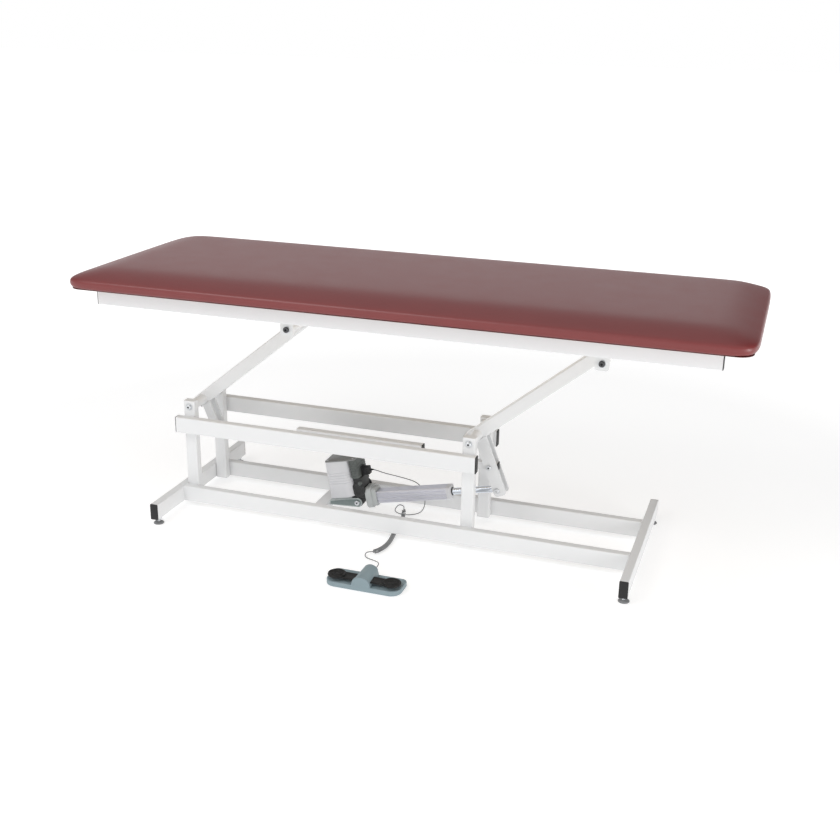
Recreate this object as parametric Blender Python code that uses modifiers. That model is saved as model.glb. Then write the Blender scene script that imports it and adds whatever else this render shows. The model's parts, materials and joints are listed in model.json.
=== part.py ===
"""Height-adjustable treatment table: a padded top on two parallel swinging arms, moved by a
linear actuator between the base rails and switched by a foot pedal on a curly cord.

Lengths are metres and angles are degrees. X runs along the table, Y across it away from the
side where the pedal lies, and Z up from the floor."""

import math

import bmesh
import bpy
import numpy as np
from mathutils import Matrix, Vector

# Clearances
gap = 0.0003
turning_clearance = 0.0003
side_clearance = 0.0010
slide_clearance = 0.0010
cutter_overrun = 0.0040

# Steel tube stock
tube_narrow = 0.0254
tube_wide = 0.0508
tube_wall = 0.0021
tube_corner = 0.0030
arm_size = 0.0381
post_width = 0.0381
pivot_tube_diameter = 0.0318
pivot_tube_wall = 0.0030
pivot_bush_length = 0.0200

# Base frame
base_length = 1.4586
foot_bar_length = 0.5800
base_width = 0.2606
floor_clearance = 0.0200
upper_rail_height = 0.2490
upper_rail_left_inset = 0.0097
upper_rail_right_overhang = 0.0080
post_top_height = 0.3480
post_cap_thickness = 0.0030
foot_inset = 0.0220
foot_pad_diameter = 0.0320
foot_pad_thickness = 0.0060
foot_stud_diameter = 0.0100
foot_nut_diameter = 0.0170
foot_nut_thickness = 0.0060

# Lifting arms, the levers under them and the bar that ties the levers together
pivot_height = 0.3290
pivot_spacing = 0.9050
arm_pivot_distance = 0.4890
arm_rest_angle = 39.1
right_arm_overrun = 0.0360
left_arm_overrun = 0.0200
arm_end_margin = 0.0190
lever_rest_angle = -68.5
lever_thickness = 0.0060
lever_offset = 0.0060
lever_width = 0.0380
lever_length = 0.2010
lever_corner = 0.0090
left_lever_width = 0.0300
left_lever_end_margin = 0.0160
link_pin_distance = 0.1070
rod_pin_distance = 0.1826
link_left_margin = 0.0150
link_right_margin = 0.0228
stiffener_inset = 0.2813
stiffener_length = 0.4110
pin_diameter = 0.0100
pin_head_diameter = 0.0150
pin_head_height = 0.0040
axle_diameter = 0.0120
washer_diameter = 0.0220
washer_thickness = 0.0016
bolt_head_diameter = 0.0180
bolt_head_height = 0.0055
button_share = 0.72

# Top frame and cushion
cushion_length = 1.9300
cushion_width = 0.6860
cushion_thickness = 0.0508
cushion_crown = 0.0030
cushion_corner = 0.0480
cushion_setback = 0.57254
deck_thickness = 0.0127
deck_inset = 0.0200
side_rail_length = 1.7660
top_frame_width = 0.5780
ear_width = 0.0390
ear_thickness = 0.0060
ear_corner = 0.0080
ear_inset = 0.0990
ear_drop = 0.0200
ear_reach = 0.0450
hanger_width = 0.0381

# Linear actuator, in the plane of its own axis: along is measured from the rear pin
# along the rod, and up is square to it
rear_pin_setback = 0.37715
rear_pin_height = 0.0533
actuator_tilt = 12.0
motor_length = 0.0800
motor_depth = 0.0900
motor_height = 0.1230
motor_bottom_up = 0.0270
motor_top_shrink = 0.0060
motor_round = 0.0070
gear_length = 0.0294
gear_depth = 0.0560
gear_top_up = 0.0780
gear_bottom_up = 0.0100
lug_radius = 0.0165
lug_depth = 0.0380
end_cover_length = 0.0260
end_cover_depth = 0.0760
end_cover_bottom_up = 0.0840
end_cover_round = 0.0040
connector_length = 0.0260
connector_height = 0.0260
connector_depth = 0.0200
connector_bottom_up = 0.0850
collar_start = 0.0335
collar_length = 0.0340
collar_height = 0.0680
collar_depth = 0.0600
collar_round = 0.0100
collar_lift = 0.0020
outer_tube_size = 0.0380
outer_tube_length = 0.2360
outer_tube_corner = 0.0050
groove_depth = 0.0010
groove_width = 0.0030
groove_pitch = 0.0075
rod_diameter = 0.0210
rod_length = 0.2620
eye_radius = 0.0135
eye_thickness = 0.0230
crossbar_width = 0.0381
crossbar_height = 0.0254
bracket_plate = 0.0040
bracket_left_bottom = 0.0330
bracket_left_height = 0.0150
bracket_length = 0.0920
bracket_round = 0.0155
bracket_shoulder = 0.0232

# Foot pedal
pedal_centre_x = 0.0275
pedal_front_y = -0.4660
pedal_width = 0.2190
pedal_depth = 0.0860
pedal_thickness = 0.0140
pedal_corner = 0.0160
hump_bottom_width = 0.0510
hump_top_width = 0.0300
hump_height = 0.0420
pad_offset = 0.0810
pad_diameter = 0.0520
pad_thickness = 0.0075
pad_rise = 0.0085
pad_dish = 0.0020
pad_arm_width = 0.0200
pad_arm_thickness = 0.0045
pad_depth_share = 0.36
hump_arch_share = 0.55
pad_ring_shares = (0.62, 0.84, 1.0, 1.0, 0.8)
pad_edge_shares = (0.6, 0.25)
relief_diameter = 0.0080
relief_length = 0.0100
relief_offset_x = 0.0085
relief_height = 0.0260

# Pedal cord, whose middle is wound into curls
cord_diameter = 0.0030
curl_diameter = 0.0140
curl_pitch = 0.0048
points_per_curl = 8
lead_step = 0.0088
coil_step = 0.0005
upper_lead_route = (
    (-0.0850, 0.0040, 0.1560),
    (-0.0480, 0.0130, 0.1470),
    (-0.0090, 0.0250, 0.1360),
    (0.0180, 0.0370, 0.1220),
    (0.0360, 0.0460, 0.0950),
    (0.0400, 0.0520, 0.0550),
    (0.0260, 0.0570, 0.0180),
    (-0.0060, 0.0560, 0.0030),
    (-0.0400, 0.0480, 0.0040),
    (-0.0530, 0.0390, 0.0150),
    (-0.0460, 0.0320, 0.0340),
    (-0.0300, 0.0285, 0.0440),
)
coil_route = (
    (-0.0206, 0.0280, 0.0350),
    (-0.0200, 0.0246, 0.0222),
    (-0.0185, 0.0153, 0.0124),
    (-0.0165, 0.0025, 0.0086),
    (-0.0120, -0.0450, 0.0086),
    (-0.0056, -0.1070, 0.0086),
    (0.0002, -0.1530, 0.0086),
    (-0.0006, -0.1930, 0.0086),
    (-0.0090, -0.2240, 0.0086),
    (-0.0250, -0.2420, 0.0086),
)
lower_lead_route = (
    (-0.0370, -0.2510, 0.0080),
    (-0.0360, -0.2660, 0.0060),
    (-0.0180, -0.2850, 0.0080),
    (0.0120, -0.3080, 0.0160),
    (0.0320, -0.3360, 0.0240),
)
coil_start_direction = (0.0, 0.0, -1.0)
coil_end_direction = (-0.92, -0.39, 0.0)

# Counts
round_sides = 20
turned_sides = 16
small_sides = 12
corner_steps = 2
plate_corner_steps = 3
round_end_steps = 8
pedal_corner_steps = 4
samples_per_span = 60
cushion_cuts = 5

# Shapes of the cushion: its rows from the middle out as shares of its length and width, how far
# each row stands up from the rim to the top, and its levels from the bottom up with their insets
cushion_length_shares = (0.0, 0.865, 0.963, 1.0)
cushion_width_shares = (0.0, 0.62, 0.90, 1.0)
cushion_rise_shares = (1.0, 1.0, 0.46, 0.0)
cushion_level_shares = (0.0, 0.10, 0.30, 0.46, 0.60, 0.71, 0.80)
cushion_inset_shares = (0.34, 0.12, 0.0, 0.02, 0.16, 0.44, 0.86)

# Places that follow from the sizes
rail_outer_y = base_width / 2
rail_inner_y = rail_outer_y - tube_narrow
post_outer_y = rail_inner_y - gap
post_inner_y = post_outer_y - tube_narrow
foot_bar_x = (base_length - tube_narrow) / 2
foot_bar_inner_x = foot_bar_x - tube_narrow / 2
left_pivot_x = -(foot_bar_inner_x - gap - post_width / 2)
right_pivot_x = left_pivot_x + pivot_spacing
arm_reach = arm_pivot_distance * math.cos(math.radians(arm_rest_angle))
arm_rise = arm_pivot_distance * math.sin(math.radians(arm_rest_angle))
upper_pivot_height = pivot_height + arm_rise
top_frame_bottom = upper_pivot_height + ear_reach
top_frame_top = top_frame_bottom + tube_wide
ear_outer_y = top_frame_width / 2 - ear_inset
ear_inner_y = ear_outer_y - ear_thickness
lever_inner_y = tube_narrow / 2 + turning_clearance
lever_outer_y = lever_inner_y + lever_thickness
lever_direction = Vector(
    (math.cos(math.radians(lever_rest_angle)), 0, math.sin(math.radians(lever_rest_angle)))
)
link_drop = lever_direction * link_pin_distance
rod_drop = lever_direction * rod_pin_distance
left_pivot = Vector((left_pivot_x, 0, pivot_height))
right_pivot = Vector((right_pivot_x, 0, pivot_height))
upper_left_pivot = left_pivot + Vector((arm_reach, 0, arm_rise))
upper_right_pivot = right_pivot + Vector((arm_reach, 0, arm_rise))
left_link_pin = left_pivot + link_drop
right_link_pin = right_pivot + link_drop
rod_pin = right_pivot + rod_drop
rear_pin_x = right_pivot_x - rear_pin_setback
rear_pin = Vector((rear_pin_x, 0, rear_pin_height))
cushion_centre_x = upper_right_pivot.x - cushion_setback
pedal_middle_y = pedal_front_y + pedal_depth / 2
pad_middle_y = pedal_front_y + pedal_depth * pad_depth_share

# The origin is on the floor under the middle of everything but the cord
origin_x = cushion_centre_x
origin_y = (pedal_front_y + cushion_width / 2) / 2


def clear_scene():
    for obj in list(bpy.data.objects):
        bpy.data.objects.remove(obj, do_unlink=True)


def new_collection(name, hidden=False):
    made = bpy.data.collections.new(name)
    made.hide_render = hidden
    bpy.context.scene.collection.children.link(made)
    return made


def new_material(name, colour, roughness, metallic=0.0):
    made = bpy.data.materials.new(name)
    made.use_nodes = True
    shader = made.node_tree.nodes["Principled BSDF"]
    shader.inputs["Base Color"].default_value = (*colour, 1.0)
    shader.inputs["Roughness"].default_value = roughness
    shader.inputs["Metallic"].default_value = metallic
    return made


clear_scene()
table = new_collection("treatment_table")
cutters = new_collection("cutters", hidden=True)

white_enamel = new_material("white_enamel", (0.86, 0.86, 0.85), 0.35)
maroon_vinyl = new_material("maroon_vinyl", (0.20, 0.035, 0.045), 0.45)
plywood = new_material("plywood", (0.55, 0.40, 0.24), 0.70)
zinc_steel = new_material("zinc_steel", (0.62, 0.64, 0.66), 0.30, 1.0)
chrome = new_material("chrome", (0.80, 0.80, 0.80), 0.08, 1.0)
aluminium = new_material("aluminium", (0.66, 0.67, 0.72), 0.35, 1.0)
grey_plastic = new_material("grey_plastic", (0.42, 0.43, 0.43), 0.50)
dark_casting = new_material("dark_casting", (0.09, 0.10, 0.11), 0.55)
black_plastic = new_material("black_plastic", (0.015, 0.015, 0.016), 0.45)
bracket_paint = new_material("bracket_paint", (0.24, 0.29, 0.31), 0.45)
pedal_plastic = new_material("pedal_plastic", (0.30, 0.37, 0.41), 0.50)
cord_rubber = new_material("cord_rubber", (0.16, 0.17, 0.18), 0.50)
foot_rubber = new_material("foot_rubber", (0.25, 0.26, 0.27), 0.45)


# Bodies: each empty sits on its joint's axis and carries the pieces that move with it
root = bpy.data.objects.new("table_origin", None)
root.location = (-origin_x, -origin_y, 0)
table.objects.link(root)


def new_body(name, place):
    made = bpy.data.objects.new(name, None)
    made.location = place
    made.parent = root
    table.objects.link(made)
    return made


def carry(body, obj, material):
    """Hands a finished piece to its body without moving it."""
    obj.parent = body
    obj.matrix_parent_inverse = Matrix.Translation(-body.location)
    obj.data.materials.clear()
    obj.data.materials.append(material)
    return obj


# Shape tools
def arc(centre, radius, start, end, steps):
    """Points on an arc in a plane, with angles in degrees."""
    angles = (math.radians(start + (end - start) * i / steps) for i in range(steps + 1))
    return [(centre[0] + radius * math.cos(a), centre[1] + radius * math.sin(a)) for a in angles]


def rectangle(width, height, radius=0.0, steps=corner_steps, centre=(0.0, 0.0)):
    x, y = width / 2 - radius, height / 2 - radius
    corners = ((x, y, 0), (-x, y, 90), (-x, -y, 180), (x, -y, 270))
    if radius == 0:
        return [(centre[0] + cx, centre[1] + cy) for cx, cy, _ in corners]
    points = []
    for cx, cy, start in corners:
        points += arc((centre[0] + cx, centre[1] + cy), radius, start, start + 90, steps)
    return points


def circle(centre, radius, sides=round_sides):
    return arc(centre, radius, 0, 360 * (sides - 1) / sides, sides - 1)


def new_mesh_object(name, shape):
    mesh = bpy.data.meshes.new(name)
    shape.to_mesh(mesh)
    shape.free()
    made = bpy.data.objects.new(name, mesh)
    table.objects.link(made)
    return made


def mesh_of_curve(curve_object):
    """The same piece as a welded mesh, so that it can be cut."""
    graph = bpy.context.evaluated_depsgraph_get()
    mesh = bpy.data.meshes.new_from_object(curve_object.evaluated_get(graph))
    shape = bmesh.new()
    shape.from_mesh(mesh)
    bmesh.ops.remove_doubles(shape, verts=shape.verts, dist=gap / 100)
    bmesh.ops.recalc_face_normals(shape, faces=shape.faces)
    name = curve_object.name
    placed = curve_object.matrix_world.copy()
    bpy.data.objects.remove(curve_object, do_unlink=True)
    bpy.data.meshes.remove(mesh)
    made = new_mesh_object(name, shape)
    made.matrix_world = placed
    return made


def extrusion(name, outlines, depth):
    """A flat outline, with any outlines inside it as holes, thickened along local Z."""
    curve = bpy.data.curves.new(name, "CURVE")
    curve.dimensions = "2D"
    curve.fill_mode = "BOTH"
    curve.extrude = depth / 2
    for outline in outlines:
        spline = curve.splines.new("POLY")
        spline.points.add(len(outline) - 1)
        for point, (x, y) in zip(spline.points, outline):
            point.co = (x, y, 0, 1)
        spline.use_cyclic_u = True
    made = bpy.data.objects.new(name, curve)
    table.objects.link(made)
    return mesh_of_curve(made)


def axes(origin, x_axis, z_axis):
    """The matrix that puts local X and Z along the given directions."""
    x = Vector(x_axis).normalized()
    z = Vector(z_axis).normalized()
    return Matrix.Translation(origin) @ Matrix((x, z.cross(x), z)).transposed().to_4x4()


def tube(name, across, deep, start, end, across_axis, wall=tube_wall):
    """A hollow rectangular tube from start to end."""
    start, end = Vector(start), Vector(end)
    outlines = [
        rectangle(across, deep, tube_corner),
        rectangle(across - 2 * wall, deep - 2 * wall),
    ]
    made = extrusion(name, outlines, (end - start).length)
    made.matrix_world = axes((start + end) / 2, across_axis, end - start)
    return made


def side_plate(name, outline, low_y, high_y, holes=()):
    """A plate cut from an outline in the XZ plane."""
    made = extrusion(name, [outline, *holes], high_y - low_y)
    made.matrix_world = axes((0, (low_y + high_y) / 2, 0), (1, 0, 0), (0, -1, 0))
    return made


def turned(name, profile, origin, axis, sides=turned_sides):
    """A profile of radius and height, top to bottom on its outer side, turned round local Z."""
    mesh = bpy.data.meshes.new(name)
    closed = profile[0][0] > 0
    count = len(profile)
    edges = [(i, i + 1) for i in range(count - 1)] + ([(count - 1, 0)] if closed else [])
    mesh.from_pydata([(radius, 0, height) for radius, height in profile], edges, [])
    made = bpy.data.objects.new(name, mesh)
    table.objects.link(made)
    screw = made.modifiers.new("turn", "SCREW")
    screw.steps = screw.render_steps = sides
    screw.use_merge_vertices = True
    screw.merge_threshold = gap / 10
    made.matrix_world = axes(origin, (1, 0, 0), axis)
    return made


def cylinder(name, radius, start, end, sides=round_sides):
    start, end = Vector(start), Vector(end)
    shape = bmesh.new()
    bmesh.ops.create_cone(
        shape,
        cap_ends=True,
        segments=sides,
        radius1=radius,
        radius2=radius,
        depth=(end - start).length,
    )
    made = new_mesh_object(name, shape)
    side = (0, 0, 1) if abs((end - start).z) < (end - start).length / 2 else (1, 0, 0)
    made.matrix_world = axes((start + end) / 2, side, end - start)
    return made


def block(name, low, high, round_edges=0.0):
    low, high = Vector(low), Vector(high)
    shape = bmesh.new()
    bmesh.ops.create_cube(shape, size=1)
    bmesh.ops.scale(shape, vec=high - low, verts=shape.verts)
    made = new_mesh_object(name, shape)
    made.location = (low + high) / 2
    if round_edges:
        bevel = made.modifiers.new("round_edges", "BEVEL")
        bevel.width = round_edges
        bevel.segments = corner_steps
    return made


def use_tool(obj, tool, operation):
    """Cuts the tool out of a piece, or adds it."""
    table.objects.unlink(tool)
    cutters.objects.link(tool)
    tool.parent = root
    tool.hide_render = True
    tool.display_type = "WIRE"
    change = obj.modifiers.new(tool.name, "BOOLEAN")
    change.operation = operation
    change.object = tool
    change.solver = "EXACT"
    return obj


def cut(obj, tool):
    return use_tool(obj, tool, "DIFFERENCE")


def join(obj, tool):
    return use_tool(obj, tool, "UNION")


def cross_hole(obj, place, radius, low_y, high_y):
    """A round hole through a piece, along Y."""
    start = Vector((place[0], low_y - cutter_overrun, place[2]))
    end = Vector((place[0], high_y + cutter_overrun, place[2]))
    return cut(obj, cylinder(f"{obj.name}_hole_{len(obj.modifiers)}", radius, start, end))


def smooth(obj, angle=35):
    obj.data.shade_smooth()
    obj.data.set_sharp_from_angle(angle=math.radians(angle))
    return obj


# Base frame: foot bars, two pairs of rails and four posts, all welded
base = new_body("base", Vector((0, 0, 0)))


def foot_bar(name, x):
    height = floor_clearance + tube_wide / 2
    ends = (x, -foot_bar_length / 2, height), (x, foot_bar_length / 2, height)
    carry(base, tube(name, tube_narrow, tube_wide, *ends, (1, 0, 0)), white_enamel)


def base_rail(name, side, left, right, bottom):
    y = side * (rail_outer_y - tube_narrow / 2)
    height = bottom + tube_wide / 2
    ends = (left, y, height), (right, y, height)
    carry(base, tube(name, tube_narrow, tube_wide, *ends, (0, 1, 0)), white_enamel)


def post(name, x, side):
    """A tube, open below and capped above, with the pivot bolt's hole near its top."""
    y = side * (post_inner_y + post_outer_y) / 2
    height = post_top_height - floor_clearance
    made = extrusion(name, [rectangle(post_width, tube_narrow, tube_corner)], height)
    made.location = (x, y, floor_clearance + height / 2)
    half_x = post_width / 2 - tube_wall
    half_y = tube_narrow / 2 - tube_wall
    hollow_low = (x - half_x, y - half_y, floor_clearance - cutter_overrun)
    hollow_high = (x + half_x, y + half_y, post_top_height - post_cap_thickness)
    cut(made, block(f"{name}_hollow", hollow_low, hollow_high))
    hole = axle_diameter / 2 + turning_clearance
    cross_hole(made, (x, y, pivot_height), hole, y - tube_narrow / 2, y + tube_narrow / 2)
    carry(base, made, white_enamel)


foot_bar("foot_bar_left", -foot_bar_x)
foot_bar("foot_bar_right", foot_bar_x)
lower_rail_end = foot_bar_inner_x - gap
upper_rail_left = -(base_length / 2 - upper_rail_left_inset)
upper_rail_right = right_pivot_x + post_width / 2 + upper_rail_right_overhang
for side_name, side in (("near", -1), ("far", 1)):
    base_rail(f"lower_rail_{side_name}", side, -lower_rail_end, lower_rail_end, floor_clearance)
    base_rail(f"upper_rail_{side_name}", side, upper_rail_left, upper_rail_right, upper_rail_height)
    post(f"post_{side_name}_left", left_pivot_x, side)
    post(f"post_{side_name}_right", right_pivot_x, side)


# Levelling feet: a pad, a lock nut and a threaded stud under each end of the foot bars
def levelling_foot(name, x, y):
    pad = foot_pad_diameter / 2
    nut = foot_nut_diameter / 2
    stud = foot_stud_diameter / 2
    top = floor_clearance - gap
    profile = [
        (0, top),
        (nut, top),
        (nut, top - foot_nut_thickness),
        (stud, top - foot_nut_thickness),
        (stud, foot_pad_thickness),
        (pad, foot_pad_thickness / 2),
        (pad, 0),
        (0, 0),
    ]
    body = new_body(f"{name}_axis", Vector((x, y, 0)))
    carry(body, smooth(turned(name, profile, (x, y, 0), (0, 0, 1))), foot_rubber)


for end_name, x in (("left", -foot_bar_x), ("right", foot_bar_x)):
    for side_name, side in (("near", -1), ("far", 1)):
        levelling_foot(
            f"levelling_foot_{side_name}_{end_name}", x, side * (foot_bar_length / 2 - foot_inset)
        )


# Pivot axles: a shaft with a washer and a button head outside the posts or the ears
def axle(name, pivot, outer_y, body):
    head = bolt_head_diameter / 2
    washer = washer_diameter / 2
    shaft = axle_diameter / 2
    inner = outer_y + gap
    outer = inner + washer_thickness
    tip = outer + bolt_head_height
    end = [(0, tip), (head * button_share, tip), (head, outer)]
    end += [(washer, outer), (washer, inner), (shaft, inner)]
    profile = end + [(radius, -height) for radius, height in reversed(end)]
    carry(body, smooth(turned(name, profile, pivot, (0, 1, 0))), zinc_steel)


axle("lower_axle_left", left_pivot, post_outer_y, base)
axle("lower_axle_right", right_pivot, post_outer_y, base)


# Swinging arms: a pivot tube turns on each axle and carries the arm and its levers
def pivot_tube(name, pivot, half_length, body):
    """A round tube with a bush at each end, turned about the axle."""
    outer = pivot_tube_diameter / 2
    inner = outer - pivot_tube_wall
    bore = axle_diameter / 2 + turning_clearance
    bush = half_length - pivot_bush_length
    profile = [
        (outer, half_length),
        (outer, -half_length),
        (bore, -half_length),
        (bore, -bush),
        (inner, -bush),
        (inner, bush),
        (bore, bush),
        (bore, half_length),
    ]
    carry(body, smooth(turned(name, profile, pivot, (0, 1, 0))), white_enamel)


def arm(name, pivot, overrun, body):
    """The square tube from the lower pivot to the upper one, let through by both pivot tubes."""
    along = Vector((arm_reach, 0, arm_rise)).normalized()
    start = pivot - along * overrun
    end = pivot + along * (arm_pivot_distance + arm_end_margin)
    made = tube(name, arm_size, arm_size, start, end, (0, 1, 0))
    hole = pivot_tube_diameter / 2 + gap
    for place in (pivot, pivot + along * arm_pivot_distance):
        cross_hole(made, place, hole, -arm_size / 2, arm_size / 2)
    carry(body, made, white_enamel)


def lever_outline(pivot, width, length):
    """The plate hangs from the arm's underside and leans with the lever's direction."""
    down = lever_direction
    right = Vector((-down.z, 0, down.x))
    low_v, high_v = lever_offset - width / 2, lever_offset + width / 2
    arm_angle = math.radians(arm_rest_angle)
    arm_down = Vector((math.sin(arm_angle), 0, -math.cos(arm_angle)))
    seat = arm_size / 2 + gap

    def start_of(v):
        return (seat - v * right.dot(arm_down)) / down.dot(arm_down)

    corner = lever_corner
    flat = [(start_of(low_v), low_v)]
    for middle, start in ((low_v + corner, 180), (high_v - corner, 90)):
        for v, u in arc((middle, length - corner), corner, start, start - 90, plate_corner_steps):
            flat.append((u, v))
    flat += [(start_of(high_v), high_v)]
    places = [pivot + down * u + right * v for u, v in flat]
    return [(place.x, place.z) for place in places]


def lever_pair(name, pivot, width, length, bolt_distances, body):
    """Two plates with a clear gap for the link and the rod between them."""
    outline = lever_outline(pivot, width, length)
    pin = pivot + link_drop
    hole = circle((pin.x, pin.z), pin_diameter / 2 + turning_clearance, small_sides)
    for side_name, side in (("near", -1), ("far", 1)):
        faces = sorted((side * lever_inner_y, side * lever_outer_y))
        made = side_plate(f"{name}_{side_name}", outline, *faces, holes=[hole])
        for distance in bolt_distances:
            place = pivot + lever_direction * distance
            inner = Vector((place.x, side * (lever_outer_y - lever_thickness / 2), place.z))
            tip = Vector((place.x, side * (lever_outer_y + pin_head_height), place.z))
            head = cylinder(f"{made.name}_bolt", pin_head_diameter / 2, inner, tip, small_sides)
            join(made, head)
        carry(body, made, white_enamel)


def headed_pin(name, place, outer_y, body, material=zinc_steel):
    shaft = pin_diameter / 2
    head = pin_head_diameter / 2
    inner = outer_y + gap
    tip = inner + pin_head_height
    end = [(0, tip), (head, tip), (head, inner), (shaft, inner)]
    profile = end + [(radius, -height) for radius, height in reversed(end)]
    carry(body, smooth(turned(name, profile, place, (0, 1, 0), small_sides)), material)


left_arm_body = new_body("left_arm_axis", left_pivot)
right_arm_body = new_body("right_arm_axis", right_pivot)
pivot_tube("lower_pivot_tube_left", left_pivot, post_inner_y - side_clearance, left_arm_body)
pivot_tube("lower_pivot_tube_right", right_pivot, post_inner_y - side_clearance, right_arm_body)
pivot_tube("upper_pivot_tube_left", upper_left_pivot, ear_inner_y - side_clearance, left_arm_body)
pivot_tube("upper_pivot_tube_right", upper_right_pivot, ear_inner_y - side_clearance, right_arm_body)
arm("left_arm", left_pivot, left_arm_overrun, left_arm_body)
arm("right_arm", right_pivot, right_arm_overrun, right_arm_body)
lever_pair(
    "left_lever",
    left_pivot,
    left_lever_width,
    link_pin_distance + left_lever_end_margin,
    (),
    left_arm_body,
)
lever_pair("right_lever", right_pivot, lever_width, lever_length, (rod_pin_distance,), right_arm_body)
headed_pin("link_pin_left", left_link_pin, lever_outer_y, left_arm_body)
headed_pin("link_pin_right", right_link_pin, lever_outer_y, right_arm_body)


# Tie link between the levers, with a stiffening tube welded along its top
link_body = new_body("link_axis", right_link_pin)
link_start = left_link_pin - Vector((link_left_margin, 0, 0))
link_end = right_link_pin + Vector((link_right_margin, 0, 0))
tie_link = tube("tie_link", tube_narrow, tube_narrow, link_start, link_end, (0, 1, 0))
for place in (left_link_pin, right_link_pin):
    hole_radius = pin_diameter / 2 + turning_clearance
    cross_hole(tie_link, place, hole_radius, -tube_narrow / 2, tube_narrow / 2)
carry(link_body, tie_link, white_enamel)
stiffener_height = left_link_pin.z + tube_narrow + gap
stiffener_start = Vector((left_link_pin.x + stiffener_inset, 0, stiffener_height))
stiffener_end = stiffener_start + Vector((stiffener_length, 0, 0))
carry(
    link_body,
    tube("link_stiffener", tube_narrow, tube_narrow, stiffener_start, stiffener_end, (0, 1, 0)),
    white_enamel,
)


# Top frame: side rails, two hangers across them and the ears that hold the upper axles
top = new_body("top_axis", upper_right_pivot)


def side_rail(name, side):
    y = side * (top_frame_width - tube_narrow) / 2
    height = top_frame_bottom + tube_wide / 2
    left = (cushion_centre_x - side_rail_length / 2, y, height)
    right = (cushion_centre_x + side_rail_length / 2, y, height)
    carry(top, tube(name, tube_narrow, tube_wide, left, right, (0, 1, 0)), white_enamel)


def hanger(end_name, pivot):
    """The tube across the frame over a pair of ears."""
    half = top_frame_width / 2 - tube_narrow - gap
    height = top_frame_bottom + tube_wide / 2
    ends = (pivot.x, -half, height), (pivot.x, half, height)
    made = tube(f"hanger_{end_name}", hanger_width, tube_wide, *ends, (1, 0, 0))
    carry(top, made, white_enamel)


def ear(name, pivot, side):
    top_edge = top_frame_bottom - gap
    bottom_edge = pivot.z - ear_drop
    half = ear_width / 2
    corner = ear_corner
    outline = [(pivot.x + half, top_edge), (pivot.x - half, top_edge)]
    for x, start in ((pivot.x - half + corner, 180), (pivot.x + half - corner, 270)):
        outline += arc((x, bottom_edge + corner), corner, start, start + 90, plate_corner_steps)
    hole = circle((pivot.x, pivot.z), axle_diameter / 2 + turning_clearance, small_sides)
    faces = sorted((side * ear_inner_y, side * ear_outer_y))
    carry(top, side_plate(name, outline, *faces, holes=[hole]), white_enamel)


side_rail("side_rail_near", -1)
side_rail("side_rail_far", 1)
for end_name, pivot in (("left", upper_left_pivot), ("right", upper_right_pivot)):
    hanger(end_name, pivot)
    ear(f"ear_near_{end_name}", pivot, -1)
    ear(f"ear_far_{end_name}", pivot, 1)
    axle(f"upper_axle_{end_name}", pivot, ear_outer_y, top)


# Deck board and the upholstered cushion that wraps its edges
deck_bottom = top_frame_top + gap
deck_half_length = cushion_length / 2 - deck_inset
deck_half_width = cushion_width / 2 - deck_inset
deck_low = (cushion_centre_x - deck_half_length, -deck_half_width, deck_bottom)
deck_high = (cushion_centre_x + deck_half_length, deck_half_width, deck_bottom + deck_thickness)
carry(top, block("deck_board", deck_low, deck_high), plywood)


def share_at(unit, shares):
    """The share for a place between -1 and 1 on evenly cut edges, the same on both sides."""
    steps = len(shares) - 1
    return shares[round(abs(unit) * steps)]


def cushion_cage():
    """A box whose rows of points follow the rounded corners, the sloping shoulders, the crown
    and the drawn-in sides."""
    shape = bmesh.new()
    bmesh.ops.create_cube(shape, size=2)
    bmesh.ops.subdivide_edges(shape, edges=shape.edges, cuts=cushion_cuts, use_grid_fill=True)
    for vertex in shape.verts:
        x, y, z = vertex.co
        level = round((z + 1) / 2 * (len(cushion_level_shares) - 1))
        inset = cushion_inset_shares[level] * cushion_thickness / 2
        half_length = cushion_length / 2 - inset
        half_width = cushion_width / 2 - inset
        along = math.copysign(share_at(x, cushion_length_shares), x)
        across = math.copysign(share_at(y, cushion_width_shares), y)
        place = Vector((along * half_length, across * half_width, 0))
        corner = Vector((half_length - cushion_corner, half_width - cushion_corner, 0))
        beyond = Vector((max(abs(place.x) - corner.x, 0), max(abs(place.y) - corner.y, 0), 0))
        if beyond.x > 0 and beyond.y > 0:
            reach = max(beyond.x, beyond.y)
            beyond *= reach / beyond.length
            place.x = math.copysign(corner.x + beyond.x, place.x)
            place.y = math.copysign(corner.y + beyond.y, place.y)
        height = cushion_level_shares[level]
        rise = share_at(x, cushion_rise_shares) * share_at(y, cushion_rise_shares)
        rim = cushion_level_shares[-1]
        shoulder = (1 - rim) * rise * height / rim
        crown = cushion_crown * (1 - along**2) * (1 - across**2) * height
        vertex.co = (place.x, place.y, cushion_thickness * (height + shoulder) + crown)
    return shape


def fit_to_size(obj, size):
    """Scales the cage so that its smoothed surface reaches the given length and width."""
    graph = bpy.context.evaluated_depsgraph_get()
    smoothed = obj.evaluated_get(graph).data
    places = np.empty(len(smoothed.vertices) * 3, np.float32)
    smoothed.vertices.foreach_get("co", places)
    reach = np.ptp(places.reshape(-1, 3), axis=0)
    lowest = places.reshape(-1, 3)[:, 2].min()
    for vertex in obj.data.vertices:
        vertex.co.x *= size[0] / reach[0]
        vertex.co.y *= size[1] / reach[1]
        vertex.co.z -= lowest


cushion = new_mesh_object("cushion", cushion_cage())
rounding = cushion.modifiers.new("soften", "SUBSURF")
rounding.levels = rounding.render_levels = 1
fit_to_size(cushion, (cushion_length, cushion_width))
cushion.location = (cushion_centre_x, 0, deck_bottom)
pocket_low = Vector(deck_low) - Vector((gap, gap, cutter_overrun))
pocket_high = Vector(deck_high) + Vector((gap, gap, gap))
cut(cushion, block("deck_pocket", pocket_low, pocket_high))
carry(top, smooth(cushion, 60), maroon_vinyl)


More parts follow.
